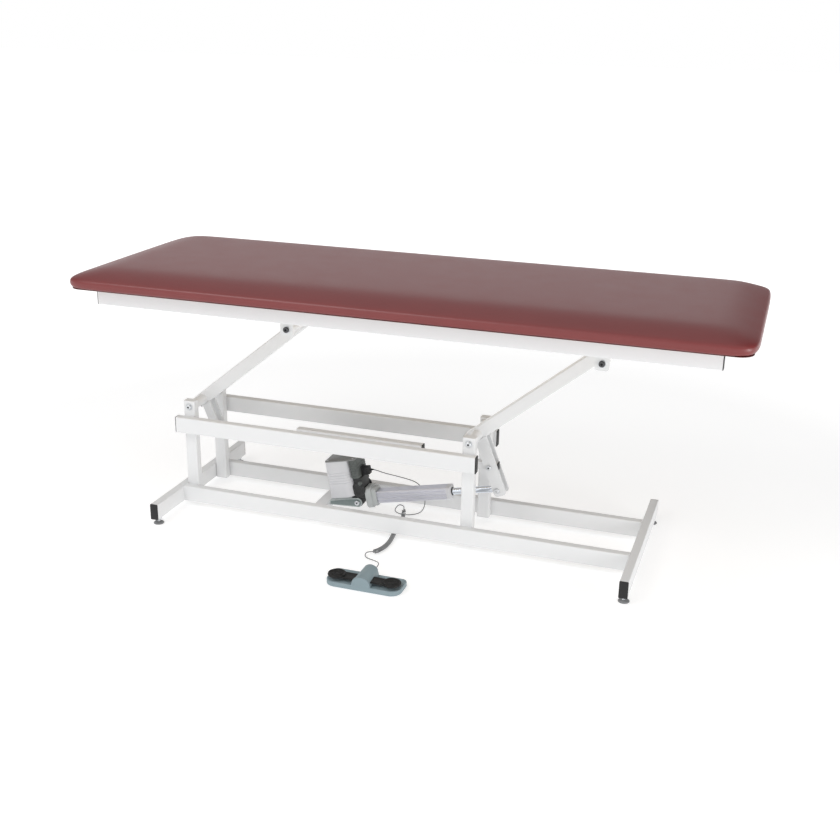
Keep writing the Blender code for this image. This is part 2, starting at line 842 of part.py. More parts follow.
# Crossbar between the lower rails, with the clevis bracket of the actuator's rear pin
crossbar_right = rear_pin_x - bracket_length - gap
crossbar_x = crossbar_right - crossbar_width / 2
crossbar_height_middle = floor_clearance + crossbar_height / 2
crossbar_half = rail_inner_y - gap
crossbar_ends = (
    (crossbar_x, -crossbar_half, crossbar_height_middle),
    (crossbar_x, crossbar_half, crossbar_height_middle),
)
carry(
    base,
    tube("actuator_crossbar", crossbar_width, crossbar_height, *crossbar_ends, (1, 0, 0)),
    white_enamel,
)


def bracket_outline():
    """Narrow where it meets the crossbar, round about the pin."""
    left = crossbar_right + gap
    bottom = bracket_left_bottom
    centre = (rear_pin_x, rear_pin_height)
    points = [(left, bottom + bracket_left_height), (left, bottom)]
    points += arc(centre, bracket_round, -95, 85, round_end_steps)
    points += [(rear_pin_x - bracket_shoulder, rear_pin_height + bracket_shoulder / 2)]
    return points


bracket_outer_y = lug_depth / 2 + side_clearance / 2 + bracket_plate
bracket_inner_y = bracket_outer_y - bracket_plate
actuator_bracket = side_plate(
    "actuator_bracket",
    bracket_outline(),
    -bracket_outer_y,
    bracket_outer_y,
    holes=[circle((rear_pin_x, rear_pin_height), pin_diameter / 2 + turning_clearance, small_sides)],
)
bracket_slot = block(
    "bracket_slot",
    (crossbar_right + gap + bracket_plate, -bracket_inner_y, 0),
    (rear_pin_x + 2 * bracket_round, bracket_inner_y, rear_pin_height + 2 * bracket_round),
)
carry(base, cut(actuator_bracket, bracket_slot), bracket_paint)
headed_pin("rear_pin", rear_pin, bracket_outer_y, base)


# Actuator: gear housing with its rear lug, motor, collar, outer tube and sliding rod
actuator = new_body("actuator_axis", rear_pin)
actuator_lean = Matrix.Rotation(-math.radians(actuator_tilt), 4, "Y")
actuator_frame = Matrix.Translation(rear_pin) @ actuator_lean
rod_pin_local = actuator_frame.inverted() @ rod_pin
axis_up = rod_pin_local.z
pin_along = rod_pin_local.x
outer_tube_start = collar_start + collar_length + gap
outer_tube_end = outer_tube_start + outer_tube_length


def lean(obj):
    """Turns a piece made about the rear pin to the actuator's tilt."""
    obj.matrix_world = actuator_frame @ obj.matrix_basis
    return obj


def lug_outline():
    points = [(collar_start - gap, gear_bottom_up), (collar_start - gap, motor_bottom_up - gap)]
    points += [(-lug_radius, motor_bottom_up - gap), (-lug_radius, 0)]
    points += arc((0, 0), lug_radius, 180, 300, round_end_steps)[1:]
    return points


lug_hole = circle((0, 0), pin_diameter / 2 + turning_clearance, small_sides)
gear_housing = side_plate(
    "gear_housing", lug_outline(), -lug_depth / 2, lug_depth / 2, holes=[lug_hole]
)
gear_block = block(
    "gear_block",
    (collar_start - gap - gear_length, -gear_depth / 2, bracket_round + side_clearance),
    (collar_start - gap, gear_depth / 2, gear_top_up),
)
lean(gear_housing)
join(gear_housing, lean(gear_block))
carry(actuator, gear_housing, dark_casting)

motor_right = collar_start - gear_length - 2 * gap
motor_housing = block(
    "motor_housing",
    (motor_right - motor_length, -motor_depth / 2, motor_bottom_up),
    (motor_right, motor_depth / 2, motor_bottom_up + motor_height),
    motor_round,
)
for vertex in motor_housing.data.vertices:
    if vertex.co.z > 0 and vertex.co.x < 0:
        vertex.co.x += motor_top_shrink
carry(actuator, lean(motor_housing), grey_plastic)

end_cover_left = motor_right + gap
end_cover_right = end_cover_left + end_cover_length
motor_top_up = motor_bottom_up + motor_height
motor_end_cover = block(
    "motor_end_cover",
    (end_cover_left, -end_cover_depth / 2, end_cover_bottom_up),
    (end_cover_right, end_cover_depth / 2, motor_top_up),
    end_cover_round,
)
carry(actuator, lean(motor_end_cover), dark_casting)

connector_left = end_cover_right + gap
connector_right = connector_left + connector_length
cord_connector = block(
    "cord_connector",
    (connector_left, -connector_depth / 2, connector_bottom_up),
    (connector_right, connector_depth / 2, connector_bottom_up + connector_height),
    end_cover_round,
)
carry(actuator, lean(cord_connector), black_plastic)

collar_up = axis_up + collar_lift
collar = block(
    "actuator_collar",
    (collar_start, -collar_depth / 2, collar_up - collar_height / 2),
    (collar_start + collar_length, collar_depth / 2, collar_up + collar_height / 2),
    collar_round,
)
carry(actuator, lean(collar), grey_plastic)


def grooved_square():
    """The tube's section: a rounded square with three shallow grooves in each side."""
    half = outer_tube_size / 2
    points = []
    for quarter in range(4):
        turn = math.radians(90 * quarter)
        corner = (half - outer_tube_corner, outer_tube_corner - half)
        side = arc(corner, outer_tube_corner, -90, 0, corner_steps)
        for groove in (-1, 0, 1):
            low = groove * groove_pitch - groove_width / 2
            high = low + groove_width
            floor = half - groove_depth
            side += [(half, low), (floor, low), (floor, high), (half, high)]
        for place in side:
            points.append(tuple(Matrix.Rotation(turn, 2) @ Vector(place)))
    return points


outer_tube = extrusion(
    "outer_tube",
    [grooved_square(), circle((0, 0), rod_diameter / 2 + slide_clearance)],
    outer_tube_length,
)
outer_tube.matrix_world = axes(
    ((outer_tube_start + outer_tube_end) / 2, 0, axis_up), (0, 0, 1), (1, 0, 0)
)
carry(actuator, lean(outer_tube), aluminium)

rod_body = new_body("rod_axis", rod_pin)
rod_start = (pin_along - rod_length, 0, axis_up)
rod_end = (pin_along - eye_radius / 2, 0, axis_up)
piston_rod = cylinder("piston_rod", rod_diameter / 2, rod_start, rod_end)
eye_low = (pin_along, -eye_thickness / 2, axis_up)
eye_high = (pin_along, eye_thickness / 2, axis_up)
join(lean(piston_rod), lean(cylinder("rod_eye", eye_radius, eye_low, eye_high)))
bore_low = (pin_along, -eye_thickness, axis_up)
bore_high = (pin_along, eye_thickness, axis_up)
bore_radius = pin_diameter / 2 + turning_clearance
cut(piston_rod, lean(cylinder("rod_eye_bore", bore_radius, bore_low, bore_high, small_sides)))
carry(rod_body, smooth(piston_rod), chrome)


# Foot pedal: a low base with a hump, and two round pads on short sprung arms
hump_root = pedal_thickness / 2
hump_shoulder = hump_height - hump_top_width / 2 * hump_arch_share


def hump_half_width(height):
    """The hump's sides lean in from its root to its shoulders."""
    rise = (height - hump_root) / (hump_shoulder - hump_root)
    return (hump_bottom_width + (hump_top_width - hump_bottom_width) * rise) / 2


def hump_outline():
    low = hump_half_width(hump_root)
    points = [(pedal_centre_x - low, hump_root), (pedal_centre_x + low, hump_root)]
    for x, y in arc((0, 0), hump_top_width / 2, 0, 180, round_end_steps):
        points.append((pedal_centre_x + x, hump_shoulder + y * hump_arch_share))
    return points


pedal_outline = rectangle(pedal_width, pedal_depth, pedal_corner, pedal_corner_steps)
pedal_base = extrusion("pedal_base", [pedal_outline], pedal_thickness)
pedal_base.location = (pedal_centre_x, pedal_middle_y, pedal_thickness / 2)
hump_back = pedal_front_y + pedal_depth - gap
hump = side_plate("pedal_hump", hump_outline(), pedal_front_y + gap, hump_back)
join(pedal_base, hump)
carry(base, pedal_base, pedal_plastic)


def pedal_pad(name, side):
    """A dished round pad with the arm that runs into the hump's side."""
    x = pedal_centre_x + side * pad_offset
    bottom = pedal_thickness + pad_rise
    rim = pad_diameter / 2
    dish = bottom + pad_thickness - pad_dish
    high_edge, low_edge = (bottom + pad_thickness * share for share in pad_edge_shares)
    heights = (dish, bottom + pad_thickness, high_edge, low_edge, bottom)
    rings = [(rim * share, height) for share, height in zip(pad_ring_shares, heights)]
    profile = [(0, dish), *rings, (0, bottom)]
    pad = turned(name, profile, (x, pad_middle_y, 0), (0, 0, 1))
    inner_x = pedal_centre_x + side * (hump_half_width(bottom) + gap)
    outer_x = pedal_centre_x + side * (pad_offset - rim / 2)
    low_x, high_x = sorted((inner_x, outer_x))
    arm_low = (low_x, pad_middle_y - pad_arm_width / 2, bottom + gap)
    arm_high = (high_x, pad_middle_y + pad_arm_width / 2, bottom + gap + pad_arm_thickness)
    join(pad, block(f"{name}_arm", arm_low, arm_high))
    hinge = Vector((inner_x, pad_middle_y, bottom))
    body = new_body(f"{name}_axis", hinge)
    carry(body, pad, black_plastic)
    return hinge


left_pad_hinge = pedal_pad("pedal_pad_left", -1)
right_pad_hinge = pedal_pad("pedal_pad_right", 1)
relief_x = pedal_centre_x + relief_offset_x
relief_start = (relief_x, hump_back + gap, relief_height)
relief_end = (relief_x, hump_back + gap + relief_length, relief_height)
relief = cylinder("pedal_strain_relief", relief_diameter / 2, relief_start, relief_end, small_sides)
carry(base, relief, cord_rubber)


# Pedal cord
def smooth_path(route, start_direction, end_direction, step):
    """Evenly spaced points on the cubic curve through a route. Each end runs straight in the
    direction given for one cord diameter."""
    points = np.array(route, float)
    first, last = points[0].copy(), points[-1].copy()
    start_direction = np.array(start_direction) / np.linalg.norm(start_direction)
    end_direction = np.array(end_direction) / np.linalg.norm(end_direction)
    points[0] += start_direction * cord_diameter
    points[-1] -= end_direction * cord_diameter
    knots = np.concatenate([[0], np.cumsum(np.linalg.norm(np.diff(points, axis=0), axis=1))])
    spans = np.diff(knots)
    count = len(points)
    system = np.zeros((count, count))
    right = np.zeros((count, 3))
    system[0, 0] = system[-1, -1] = 1
    right[0] = start_direction
    right[-1] = end_direction
    for i in range(1, count - 1):
        before, after = spans[i - 1], spans[i]
        system[i, i - 1 : i + 2] = after, 2 * (before + after), before
        backward = (points[i] - points[i - 1]) * after / before
        forward = (points[i + 1] - points[i]) * before / after
        right[i] = 3 * (backward + forward)
    slopes = np.linalg.solve(system, right)
    fine = np.linspace(0, knots[-1], samples_per_span * count)
    index = np.clip(np.searchsorted(knots, fine, side="right") - 1, 0, count - 2)
    t = ((fine - knots[index]) / spans[index])[:, None]
    h = spans[index][:, None]
    curve = (2 * t**3 - 3 * t**2 + 1) * points[index] + (t**3 - 2 * t**2 + t) * h * slopes[index]
    curve += (3 * t**2 - 2 * t**3) * points[index + 1] + (t**3 - t**2) * h * slopes[index + 1]
    lengths = np.concatenate([[0], np.cumsum(np.linalg.norm(np.diff(curve, axis=0), axis=1))])
    even = np.linspace(0, lengths[-1], max(2, round(lengths[-1] / step)) + 1)
    middle = np.stack([np.interp(even, lengths, curve[:, k]) for k in range(3)], axis=1)
    return np.concatenate([[first], middle, [last]])


def round_cord(name, points, resolution):
    curve = bpy.data.curves.new(name, "CURVE")
    curve.dimensions = "3D"
    curve.bevel_depth = cord_diameter / 2
    curve.bevel_resolution = resolution
    curve.use_fill_caps = True
    spline = curve.splines.new("POLY")
    spline.points.add(len(points) - 1)
    for point, place in zip(spline.points, points):
        point.co = (*place, 1)
    made = bpy.data.objects.new(name, curve)
    table.objects.link(made)
    return carry(base, made, cord_rubber)


def curled(path, radius, pitch, per_curl, straight):
    """A helix about a path, which starts and ends as a straight stretch along it."""
    steps = np.diff(path, axis=0)
    lengths = np.concatenate([[0], np.cumsum(np.linalg.norm(steps, axis=1))])
    total = lengths[-1]
    tangents = np.gradient(path, axis=0)
    tangents /= np.linalg.norm(tangents, axis=1)[:, None]
    side = np.cross(tangents[0], (1.0, 0.0, 0.0))
    sides = []
    for tangent in tangents:
        side = side - tangent * side.dot(tangent)
        side /= np.linalg.norm(side)
        sides.append(side)
    sides = np.array(sides)
    others = np.cross(tangents, sides)
    curls = round((total - 2 * straight) / pitch)
    along = np.linspace(straight, total - straight, curls * per_curl + 1)
    turn = 2 * np.pi * curls * (along - straight) / (total - 2 * straight)
    ramp = np.clip(np.minimum(along - straight, total - straight - along) / pitch, 0, 1)
    reach = radius * ramp * ramp * (3 - 2 * ramp)

    def read(rows, places):
        return np.stack([np.interp(places, lengths, rows[:, k]) for k in range(3)], axis=1)

    wound = read(path, along)
    wound += reach[:, None] * np.cos(turn)[:, None] * read(sides, along)
    wound += reach[:, None] * np.sin(turn)[:, None] * read(others, along)
    return np.concatenate([path[:1], wound, path[-1:]]), curls


def least_gap(points, diameter, apart):
    """The least clear distance between turns that lie more than one stretch apart."""
    fine = np.concatenate([points[:-1] + (points[1:] - points[:-1]) * k / 4 for k in range(4)])
    order = np.concatenate([np.arange(len(points) - 1) + k / 4 for k in range(4)])
    fine = fine[np.argsort(order)]
    lengths = np.concatenate([[0], np.cumsum(np.linalg.norm(np.diff(fine, axis=0), axis=1))])
    least = np.inf
    for i in range(len(fine)):
        far = lengths > lengths[i] + apart
        if far.any():
            least = min(least, np.linalg.norm(fine[far] - fine[i], axis=1).min())
    return least - diameter


def length_of(points):
    return float(np.linalg.norm(np.diff(points, axis=0), axis=1).sum())


coil_direction_in = np.array(coil_start_direction)
coil_direction_out = np.array(coil_end_direction) / np.linalg.norm(coil_end_direction)
coil_path = smooth_path(coil_route, coil_direction_in, coil_direction_out, coil_step)
curl_radius = (curl_diameter - cord_diameter) / 2
coil_points, curl_count = curled(
    coil_path, curl_radius, curl_pitch, points_per_curl, cord_diameter
)
round_cord("curly_cord", coil_points, 1)

connector_exit = actuator_frame @ Vector(
    (connector_right + gap, 0, connector_bottom_up + connector_height / 2)
)
connector_direction = actuator_frame.to_3x3() @ Vector((1, 0, 0))
coil_in = np.array(coil_route[0]) - coil_direction_in * gap
upper_lead = smooth_path(
    (tuple(connector_exit), *upper_lead_route, tuple(coil_in)),
    tuple(connector_direction),
    coil_direction_in,
    lead_step,
)
round_cord("cord_upper_lead", upper_lead, 2)

coil_out = np.array(coil_route[-1]) + coil_direction_out * gap
relief_exit = (relief_x, relief_end[1] + gap, relief_height)
lower_lead = smooth_path(
    (tuple(coil_out), *lower_lead_route, relief_exit), coil_direction_out, (0, -1, 0), lead_step
)
round_cord("cord_lower_lead", lower_lead, 2)

curl_gap = least_gap(coil_points, cord_diameter, curl_pitch * 3)
print("least gap between curls:", round(curl_gap * 1000, 2), "mm")
print("curls:", curl_count, "coil path:", round(length_of(coil_path), 4), "m")
for stretch_name, stretch in (("upper", upper_lead), ("coil", coil_points), ("lower", lower_lead)):
    print(stretch_name, "length:", round(length_of(stretch), 4), "m")
near_left_foot = (-foot_bar_x, -(foot_bar_length / 2 - foot_inset), 0)
for place_name, place in (
    ("right pivot", right_pivot),
    ("left pivot", left_pivot),
    ("upper right pivot", upper_right_pivot),
    ("right link pin", right_link_pin),
    ("rear pin", rear_pin),
    ("rod pin", rod_pin),
    ("left pad hinge", left_pad_hinge),
    ("right pad hinge", right_pad_hinge),
    ("near left foot", near_left_foot),
):
    print(place_name, [round(value, 5) for value in Vector(place) + root.location])
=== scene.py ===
"""The looks of a height-adjustable treatment table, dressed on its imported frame.

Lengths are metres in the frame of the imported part: X along the table, Y across it away from the side
where the pedal lies, and Z up from the floor."""

import json
import math

import bmesh
import bpy
import numpy as np
from mathutils import Matrix, Vector


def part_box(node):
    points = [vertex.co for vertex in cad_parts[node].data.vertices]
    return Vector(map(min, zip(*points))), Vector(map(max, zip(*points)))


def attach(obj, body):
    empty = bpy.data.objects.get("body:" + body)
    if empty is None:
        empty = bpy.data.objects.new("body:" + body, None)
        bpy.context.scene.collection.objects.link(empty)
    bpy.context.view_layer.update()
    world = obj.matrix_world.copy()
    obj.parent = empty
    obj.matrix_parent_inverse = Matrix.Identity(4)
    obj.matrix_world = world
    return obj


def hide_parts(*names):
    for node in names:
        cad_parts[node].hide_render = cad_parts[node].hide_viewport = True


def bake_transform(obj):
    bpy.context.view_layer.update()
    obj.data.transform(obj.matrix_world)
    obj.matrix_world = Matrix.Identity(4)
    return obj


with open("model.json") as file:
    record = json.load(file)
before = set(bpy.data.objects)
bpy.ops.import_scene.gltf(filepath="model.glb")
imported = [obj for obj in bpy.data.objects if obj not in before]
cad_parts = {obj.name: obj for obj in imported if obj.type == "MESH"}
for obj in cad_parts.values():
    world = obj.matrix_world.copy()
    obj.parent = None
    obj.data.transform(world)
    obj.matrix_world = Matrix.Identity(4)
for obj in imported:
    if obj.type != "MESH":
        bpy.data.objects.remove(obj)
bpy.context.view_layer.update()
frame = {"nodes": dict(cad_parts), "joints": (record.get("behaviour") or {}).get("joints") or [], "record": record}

# The studio: a camera a little above the table's top, a pale floor that runs on to the horizon,
# and soft light from large white surfaces
camera_place = Vector((1.0357, -3.0127, 1.5111))
camera_azimuth = math.radians(18.46)
camera_elevation = math.radians(19.8)
camera_roll = math.radians(0.9)
focal_length = 49.29
film_width = 36.0
floor_size = 60.0
floor_glow_start = 1.8
floor_glow_run = 2.0


def linked(name, data):
    """A new object of the scene."""
    made = bpy.data.objects.new(name, data)
    bpy.context.scene.collection.objects.link(made)
    return made


def mesh_of(name, shape):
    """A bmesh as a mesh."""
    mesh = bpy.data.meshes.new(name)
    shape.to_mesh(mesh)
    shape.free()
    return mesh


camera_data = bpy.data.cameras.new("studio_camera")
camera_data.sensor_width = film_width
camera_data.lens = focal_length
camera_data.clip_end = floor_size * 2
camera = linked("studio_camera", camera_data)
camera.matrix_world = (
    Matrix.Translation(camera_place)
    @ Matrix.Rotation(camera_azimuth, 4, "Z")
    @ Matrix.Rotation(math.radians(90) - camera_elevation, 4, "X")
    @ Matrix.Rotation(camera_roll, 4, "Z")
)
bpy.context.scene.camera = camera
bpy.context.scene.view_settings.view_transform = "Standard"


class Wire:
    """One output in a node tree. Arithmetic on it adds Math nodes."""

    def __init__(self, nodes, socket):
        self.nodes, self.socket = nodes, socket

    def __add__(self, other):
        return self.nodes.math("ADD", self, other)

    def __sub__(self, other):
        return self.nodes.math("SUBTRACT", self, other)

    def __mul__(self, other):
        return self.nodes.math("MULTIPLY", self, other)


class Nodes:
    """A node tree that calls build up."""

    def __init__(self, tree):
        self.tree = tree

    def feed(self, socket, value):
        """Gives a socket a wire, a colour or a plain value."""
        if isinstance(value, Wire):
            self.tree.links.new(value.socket, socket)
        else:
            socket.default_value = (*value, 1.0) if socket.type == "RGBA" else value

    def node(self, kind, settings, inputs, output=0):
        """Adds one node: first its settings, or a ramp's stops, then its sockets' values or links."""
        made = self.tree.nodes.new(kind)
        for label, value in settings.items():
            if label != "stops":
                setattr(made, label, value)
                continue
            ramp = made.color_ramp.elements
            ramp.remove(ramp[1])
            ramp[0].position, grey = value[0]
            ramp[0].color = (grey, grey, grey, 1.0)
            for position, grey in value[1:]:
                ramp.new(position).color = (grey, grey, grey, 1.0)
        for label, value in inputs.items():
            self.feed(made.inputs[label], value)
        return Wire(self, made.outputs[output])

    def math(self, operation, first, second):
        return self.node("ShaderNodeMath", {"operation": operation}, {0: first, 1: second})

    def blend(self, share, first, second, kind="MIX"):
        settings = {"data_type": "RGBA", "blend_type": kind}
        return self.node("ShaderNodeMix", settings, {"Factor": share, 6: first, 7: second}, 2)


class Finish(Nodes):
    """A material built up from its Principled shader, and the slot that it mostly stands for."""

    def __init__(self, name, slot=None, **values):
        self.material = bpy.data.materials.new(name)
        self.material.use_nodes = True
        self.slot = slot
        super().__init__(self.material.node_tree)
        for label, value in values.items():
            self.shade(label.replace("_", " ").title().replace("Ior", "IOR"), value)

    def shade(self, label, value):
        self.feed(self.tree.nodes["Principled BSDF"].inputs[label], value)

    def places(self, drawn=(1.0, 1.0, 1.0), turn=(0.0, 0.0, 0.0)):
        """Object coordinates on turned axes. A pattern on them is drawn out by the factors."""
        own = self.node("ShaderNodeTexCoord", {}, {}, "Object")
        inputs = {"Vector": own, "Scale": drawn, "Rotation": turn}
        return self.node("ShaderNodeMapping", {"vector_type": "TEXTURE"}, inputs)

    def noise(self, per_metre, detail=2.0, drawn=(1.0, 1.0, 1.0), turn=(0.0, 0.0, 0.0)):
        """A cloudy pattern between 0 and 1 with so many lumps to a metre."""
        inputs = {"Vector": self.places(drawn, turn), "Scale": per_metre, "Detail": detail}
        return self.node("ShaderNodeTexNoise", {}, inputs)

    def bump(self, height, depth, strength=1.0):
        """Raises the surface by so many metres where the height is 1."""
        inputs = {"Strength": strength, "Distance": depth, "Height": height}
        self.shade("Normal", self.node("ShaderNodeBump", {}, inputs))


floor_shape = bmesh.new()
bmesh.ops.create_grid(floor_shape, x_segments=1, y_segments=1, size=floor_size / 2)
studio_floor = linked("studio_floor", mesh_of("studio_floor", floor_shape))
floor_paint = Finish("floor_paint", base_color=(0.6, 0.6, 0.6), roughness=0.9, emission_strength=0.9)
floor_places = {0: floor_paint.places()}
floor_reach = floor_paint.node("ShaderNodeVectorMath", {"operation": "LENGTH"}, floor_places, 1)
floor_glow = (floor_reach - floor_glow_start) * (1 / floor_glow_run)
floor_colour = floor_paint.blend(floor_glow, (0.62, 0.62, 0.62), (1.0, 1.0, 1.0))
floor_paint.shade("Emission Color", floor_colour)
studio_floor.data.materials.append(floor_paint.material)

# White walls all round, darker half way up, and darker at both sides of the far wall above the
# horizon. Each pair is a share of the way up, to the right or to the far side, and the grey there
rise_stops = ((0.0, 1.0), (0.03, 1.0), (0.22, 0.71), (0.38, 0.63), (0.62, 0.4), (0.88, 0.85))
across_stops = ((0.12, 0.45), (0.24, 1.0), (0.48, 1.0), (0.56, 0.35), (0.66, 0.25))
horizon_stops = ((0.02, 0.0), (0.08, 1.0))
far_stops = ((0.5, 0.0), (0.62, 1.0))
studio_air = bpy.data.worlds.new("studio_air")
studio_air.use_nodes = True
bpy.context.scene.world = studio_air
air = Nodes(studio_air.node_tree)


def air_ramp(axis, stops, lowest=0.0):
    """A grey that follows one part of the direction, from the lowest value that counts up to 1."""
    direction = air.node("ShaderNodeTexCoord", {}, {}, "Generated")
    part = air.node("ShaderNodeSeparateXYZ", {}, {0: direction}, axis)
    share = air.node("ShaderNodeMapRange", {}, {"Value": part, "From Min": lowest})
    return air.node("ShaderNodeValToRGB", {"stops": stops}, {0: share})


far_wall = air_ramp("Z", horizon_stops) * air_ramp("Y", far_stops, -1.0)
across_ramp = air_ramp("X", across_stops, -1.0)
air_colour = air.blend(far_wall, air_ramp("Z", rise_stops), across_ramp, "MULTIPLY")
air.feed(air.tree.nodes["Background"].inputs["Color"], air_colour)


def soft_light(name, place, target, size, power):
    light = bpy.data.lights.new(name, "AREA")
    light.shape = "RECTANGLE"
    light.size, light.size_y = size
    light.energy = power
    made = linked(name, light)
    made.location = place
    made.rotation_mode = "QUATERNION"
    made.rotation_quaternion = (Vector(target) - Vector(place)).to_track_quat("-Z", "Y")


soft_light("key_light", (-1.8, -2.6, 3.4), (0.0, 0.0, 0.4), (2.4, 1.6), 50)
soft_light("front_light", (-1.0, -4.0, 2.0), (0.0, 0.0, 0.5), (3.6, 2.2), 13)
soft_light("right_light", (3.4, -1.2, 0.7), (0.5, 0.0, 0.4), (1.5, 1.0), 34)


# Pedal cord: a thin dark grey sheathed cable from the motor's connector, wound into tight curls
# where it crosses the base rails, with a straight lead into the back of the pedal
joint_places = {joint["name"]: joint.get("pos_m") for joint in frame["joints"]}
rear_pin = Vector(joint_places["actuator_tilt"])
table_centre = Vector((-0.0274, rear_pin.y, 0.0))
actuator_tilt = math.radians(12.0)
actuator_frame = Matrix.Translation(rear_pin) @ Matrix.Rotation(-actuator_tilt, 4, "Y")
cord_diameter = 0.003
curl_diameter = 0.014
curl_pitch = 0.0048
points_per_curl = 24
points_per_stretch = 60
cord_step = 0.0022
coil_step = 0.0005
cord_sides_quarter = 3
socket_exit = (0.0564, 0.0, 0.098)
upper_lead_route = (
    (-0.085, 0.004, 0.156), (-0.048, 0.013, 0.147), (-0.009, 0.025, 0.136),
    (0.018, 0.037, 0.122), (0.036, 0.046, 0.095), (0.04, 0.052, 0.055),
    (0.026, 0.057, 0.018), (-0.006, 0.056, 0.003), (-0.04, 0.048, 0.004),
    (-0.053, 0.039, 0.015), (-0.046, 0.032, 0.034), (-0.03, 0.0285, 0.044),
)
coil_route = (
    (-0.0206, 0.028, 0.035), (-0.02, 0.0246, 0.0222), (-0.0185, 0.0153, 0.0124),
    (-0.0165, 0.0025, 0.0086), (-0.012, -0.045, 0.0086), (-0.0056, -0.107, 0.0086),
    (0.0002, -0.153, 0.0086), (-0.0006, -0.193, 0.0086), (-0.009, -0.224, 0.0086),
    (-0.025, -0.242, 0.0086),
)
lower_lead_route = (
    (-0.037, -0.251, 0.008), (-0.036, -0.266, 0.006), (-0.018, -0.285, 0.008),
    (0.012, -0.308, 0.016), (0.032, -0.336, 0.024),
)
pedal_exit = (0.036, -0.3698, 0.026)
coil_start_direction = (0.0, 0.0, -1.0)
coil_end_direction = (-0.92, -0.39, 0.0)
pedal_direction = (0.0, -1.0, 0.0)


def run_lengths(points):
    """The length of a path up to each of its points."""
    return np.concatenate([[0], np.cumsum(np.linalg.norm(np.diff(points, axis=0), axis=1))])


def read_at(places, lengths, rows):
    """The rows at places between the lengths that they belong to."""
    return np.stack([np.interp(places, lengths, rows[:, k]) for k in range(3)], axis=1)


def smooth_path(route, start_direction, end_direction, step):
    """Evenly spaced points on the cubic curve through a route. Each end runs straight in the
    direction given for one cord diameter."""
    points = np.array(route, float)
    first, last = points[0].copy(), points[-1].copy()
    start_direction = np.array(start_direction) / np.linalg.norm(start_direction)
    end_direction = np.array(end_direction) / np.linalg.norm(end_direction)
    points[0] += start_direction * cord_diameter
    points[-1] -= end_direction * cord_diameter
    knots = run_lengths(points)
    spans = np.diff(knots)
    count = len(points)
    system = np.zeros((count, count))
    right = np.zeros((count, 3))
    system[0, 0] = system[-1, -1] = 1
    right[0], right[-1] = start_direction, end_direction
    for i in range(1, count - 1):
        before, after = spans[i - 1], spans[i]
        system[i, i - 1 : i + 2] = after, 2 * (before + after), before
        backward = (points[i] - points[i - 1]) * after / before
        forward = (points[i + 1] - points[i]) * before / after
        right[i] = 3 * (backward + forward)
    slopes = np.linalg.solve(system, right)
    fine = np.linspace(0, knots[-1], points_per_stretch * count)
    index = np.clip(np.searchsorted(knots, fine, side="right") - 1, 0, count - 2)
    t = ((fine - knots[index]) / spans[index])[:, None]
    h = spans[index][:, None]
    curve = (2 * t**3 - 3 * t**2 + 1) * points[index] + (t**3 - 2 * t**2 + t) * h * slopes[index]
    curve += (3 * t**2 - 2 * t**3) * points[index + 1] + (t**3 - t**2) * h * slopes[index + 1]
    lengths = run_lengths(curve)
    even = np.linspace(0, lengths[-1], max(2, round(lengths[-1] / step)) + 1)
    return np.concatenate([[first], read_at(even, lengths, curve), [last]])


def curled(path, radius, pitch, per_curl, straight):
    """A helix about a path, which starts and ends as a straight stretch along it."""
    lengths = run_lengths(path)
    total = lengths[-1]
    tangents = np.gradient(path, axis=0)
    tangents /= np.linalg.norm(tangents, axis=1)[:, None]
    side = np.cross(tangents[0], (1.0, 0.0, 0.0))
    across = []
    for tangent in tangents:
        side = side - tangent * side.dot(tangent)
        side /= np.linalg.norm(side)
        across.append(side)
    across = np.array(across)
    curls = round((total - 2 * straight) / pitch)
    along = np.linspace(straight, total - straight, curls * per_curl + 1)
    turn = 2 * np.pi * curls * (along - straight) / (total - 2 * straight)
    ramp = np.clip(np.minimum(along - straight, total - straight - along) / pitch, 0, 1)
    reach = radius * ramp * ramp * (3 - 2 * ramp)
    wound = read_at(along, lengths, path)
    wound += (reach * np.cos(turn))[:, None] * read_at(along, lengths, across)
    wound += (reach * np.sin(turn))[:, None] * read_at(along, lengths, np.cross(tangents, across))
    return np.concatenate([path[:1], wound, path[-1:]])


coil_path = smooth_path(coil_route, coil_start_direction, coil_end_direction, coil_step)
curl_radius = (curl_diameter - cord_diameter) / 2
coil_points = curled(coil_path, curl_radius, curl_pitch, points_per_curl, cord_diameter)
cord_exit = actuator_frame @ Vector(socket_exit)
exit_direction = actuator_frame.to_3x3() @ Vector((1, 0, 0))
upper_route = (tuple(cord_exit - table_centre), *upper_lead_route, coil_route[0])
upper_lead = smooth_path(upper_route, tuple(exit_direction), coil_start_direction, cord_step)
lower_route = (coil_route[-1], *lower_lead_route, pedal_exit)
lower_lead = smooth_path(lower_route, coil_end_direction, pedal_direction, cord_step)
cord_points = np.concatenate([upper_lead[:-1], coil_points, lower_lead[1:]]) + np.array(table_centre)


def tube_mesh(name, points, radius, quarter, swell=None):
    """A closed round tube along a list of points, as a mesh object."""
    curve = bpy.data.curves.new(name, "CURVE")
    curve.dimensions = "3D"
    curve.bevel_depth = radius
    curve.bevel_resolution = quarter
    curve.use_fill_caps = True
    spline = curve.splines.new("POLY")
    spline.points.add(len(points) - 1)
    for i, (point, place) in enumerate(zip(spline.points, points)):
        point.co = (*place, 1)
        point.radius = 1.0 if swell is None else swell[i]
    drawn = linked(name, curve)
    mesh = bpy.data.meshes.new_from_object(drawn.evaluated_get(bpy.context.evaluated_depsgraph_get()))
    bpy.data.objects.remove(drawn, do_unlink=True)
    shape = bmesh.new()
    shape.from_mesh(mesh)
    bmesh.ops.remove_doubles(shape, verts=shape.verts, dist=radius / 200)
    bmesh.ops.recalc_face_normals(shape, faces=shape.faces)
    shape.to_mesh(mesh)
    shape.free()
    mesh.shade_smooth()
    mesh.set_sharp_from_angle(angle=math.radians(50))
    return linked(name, mesh)


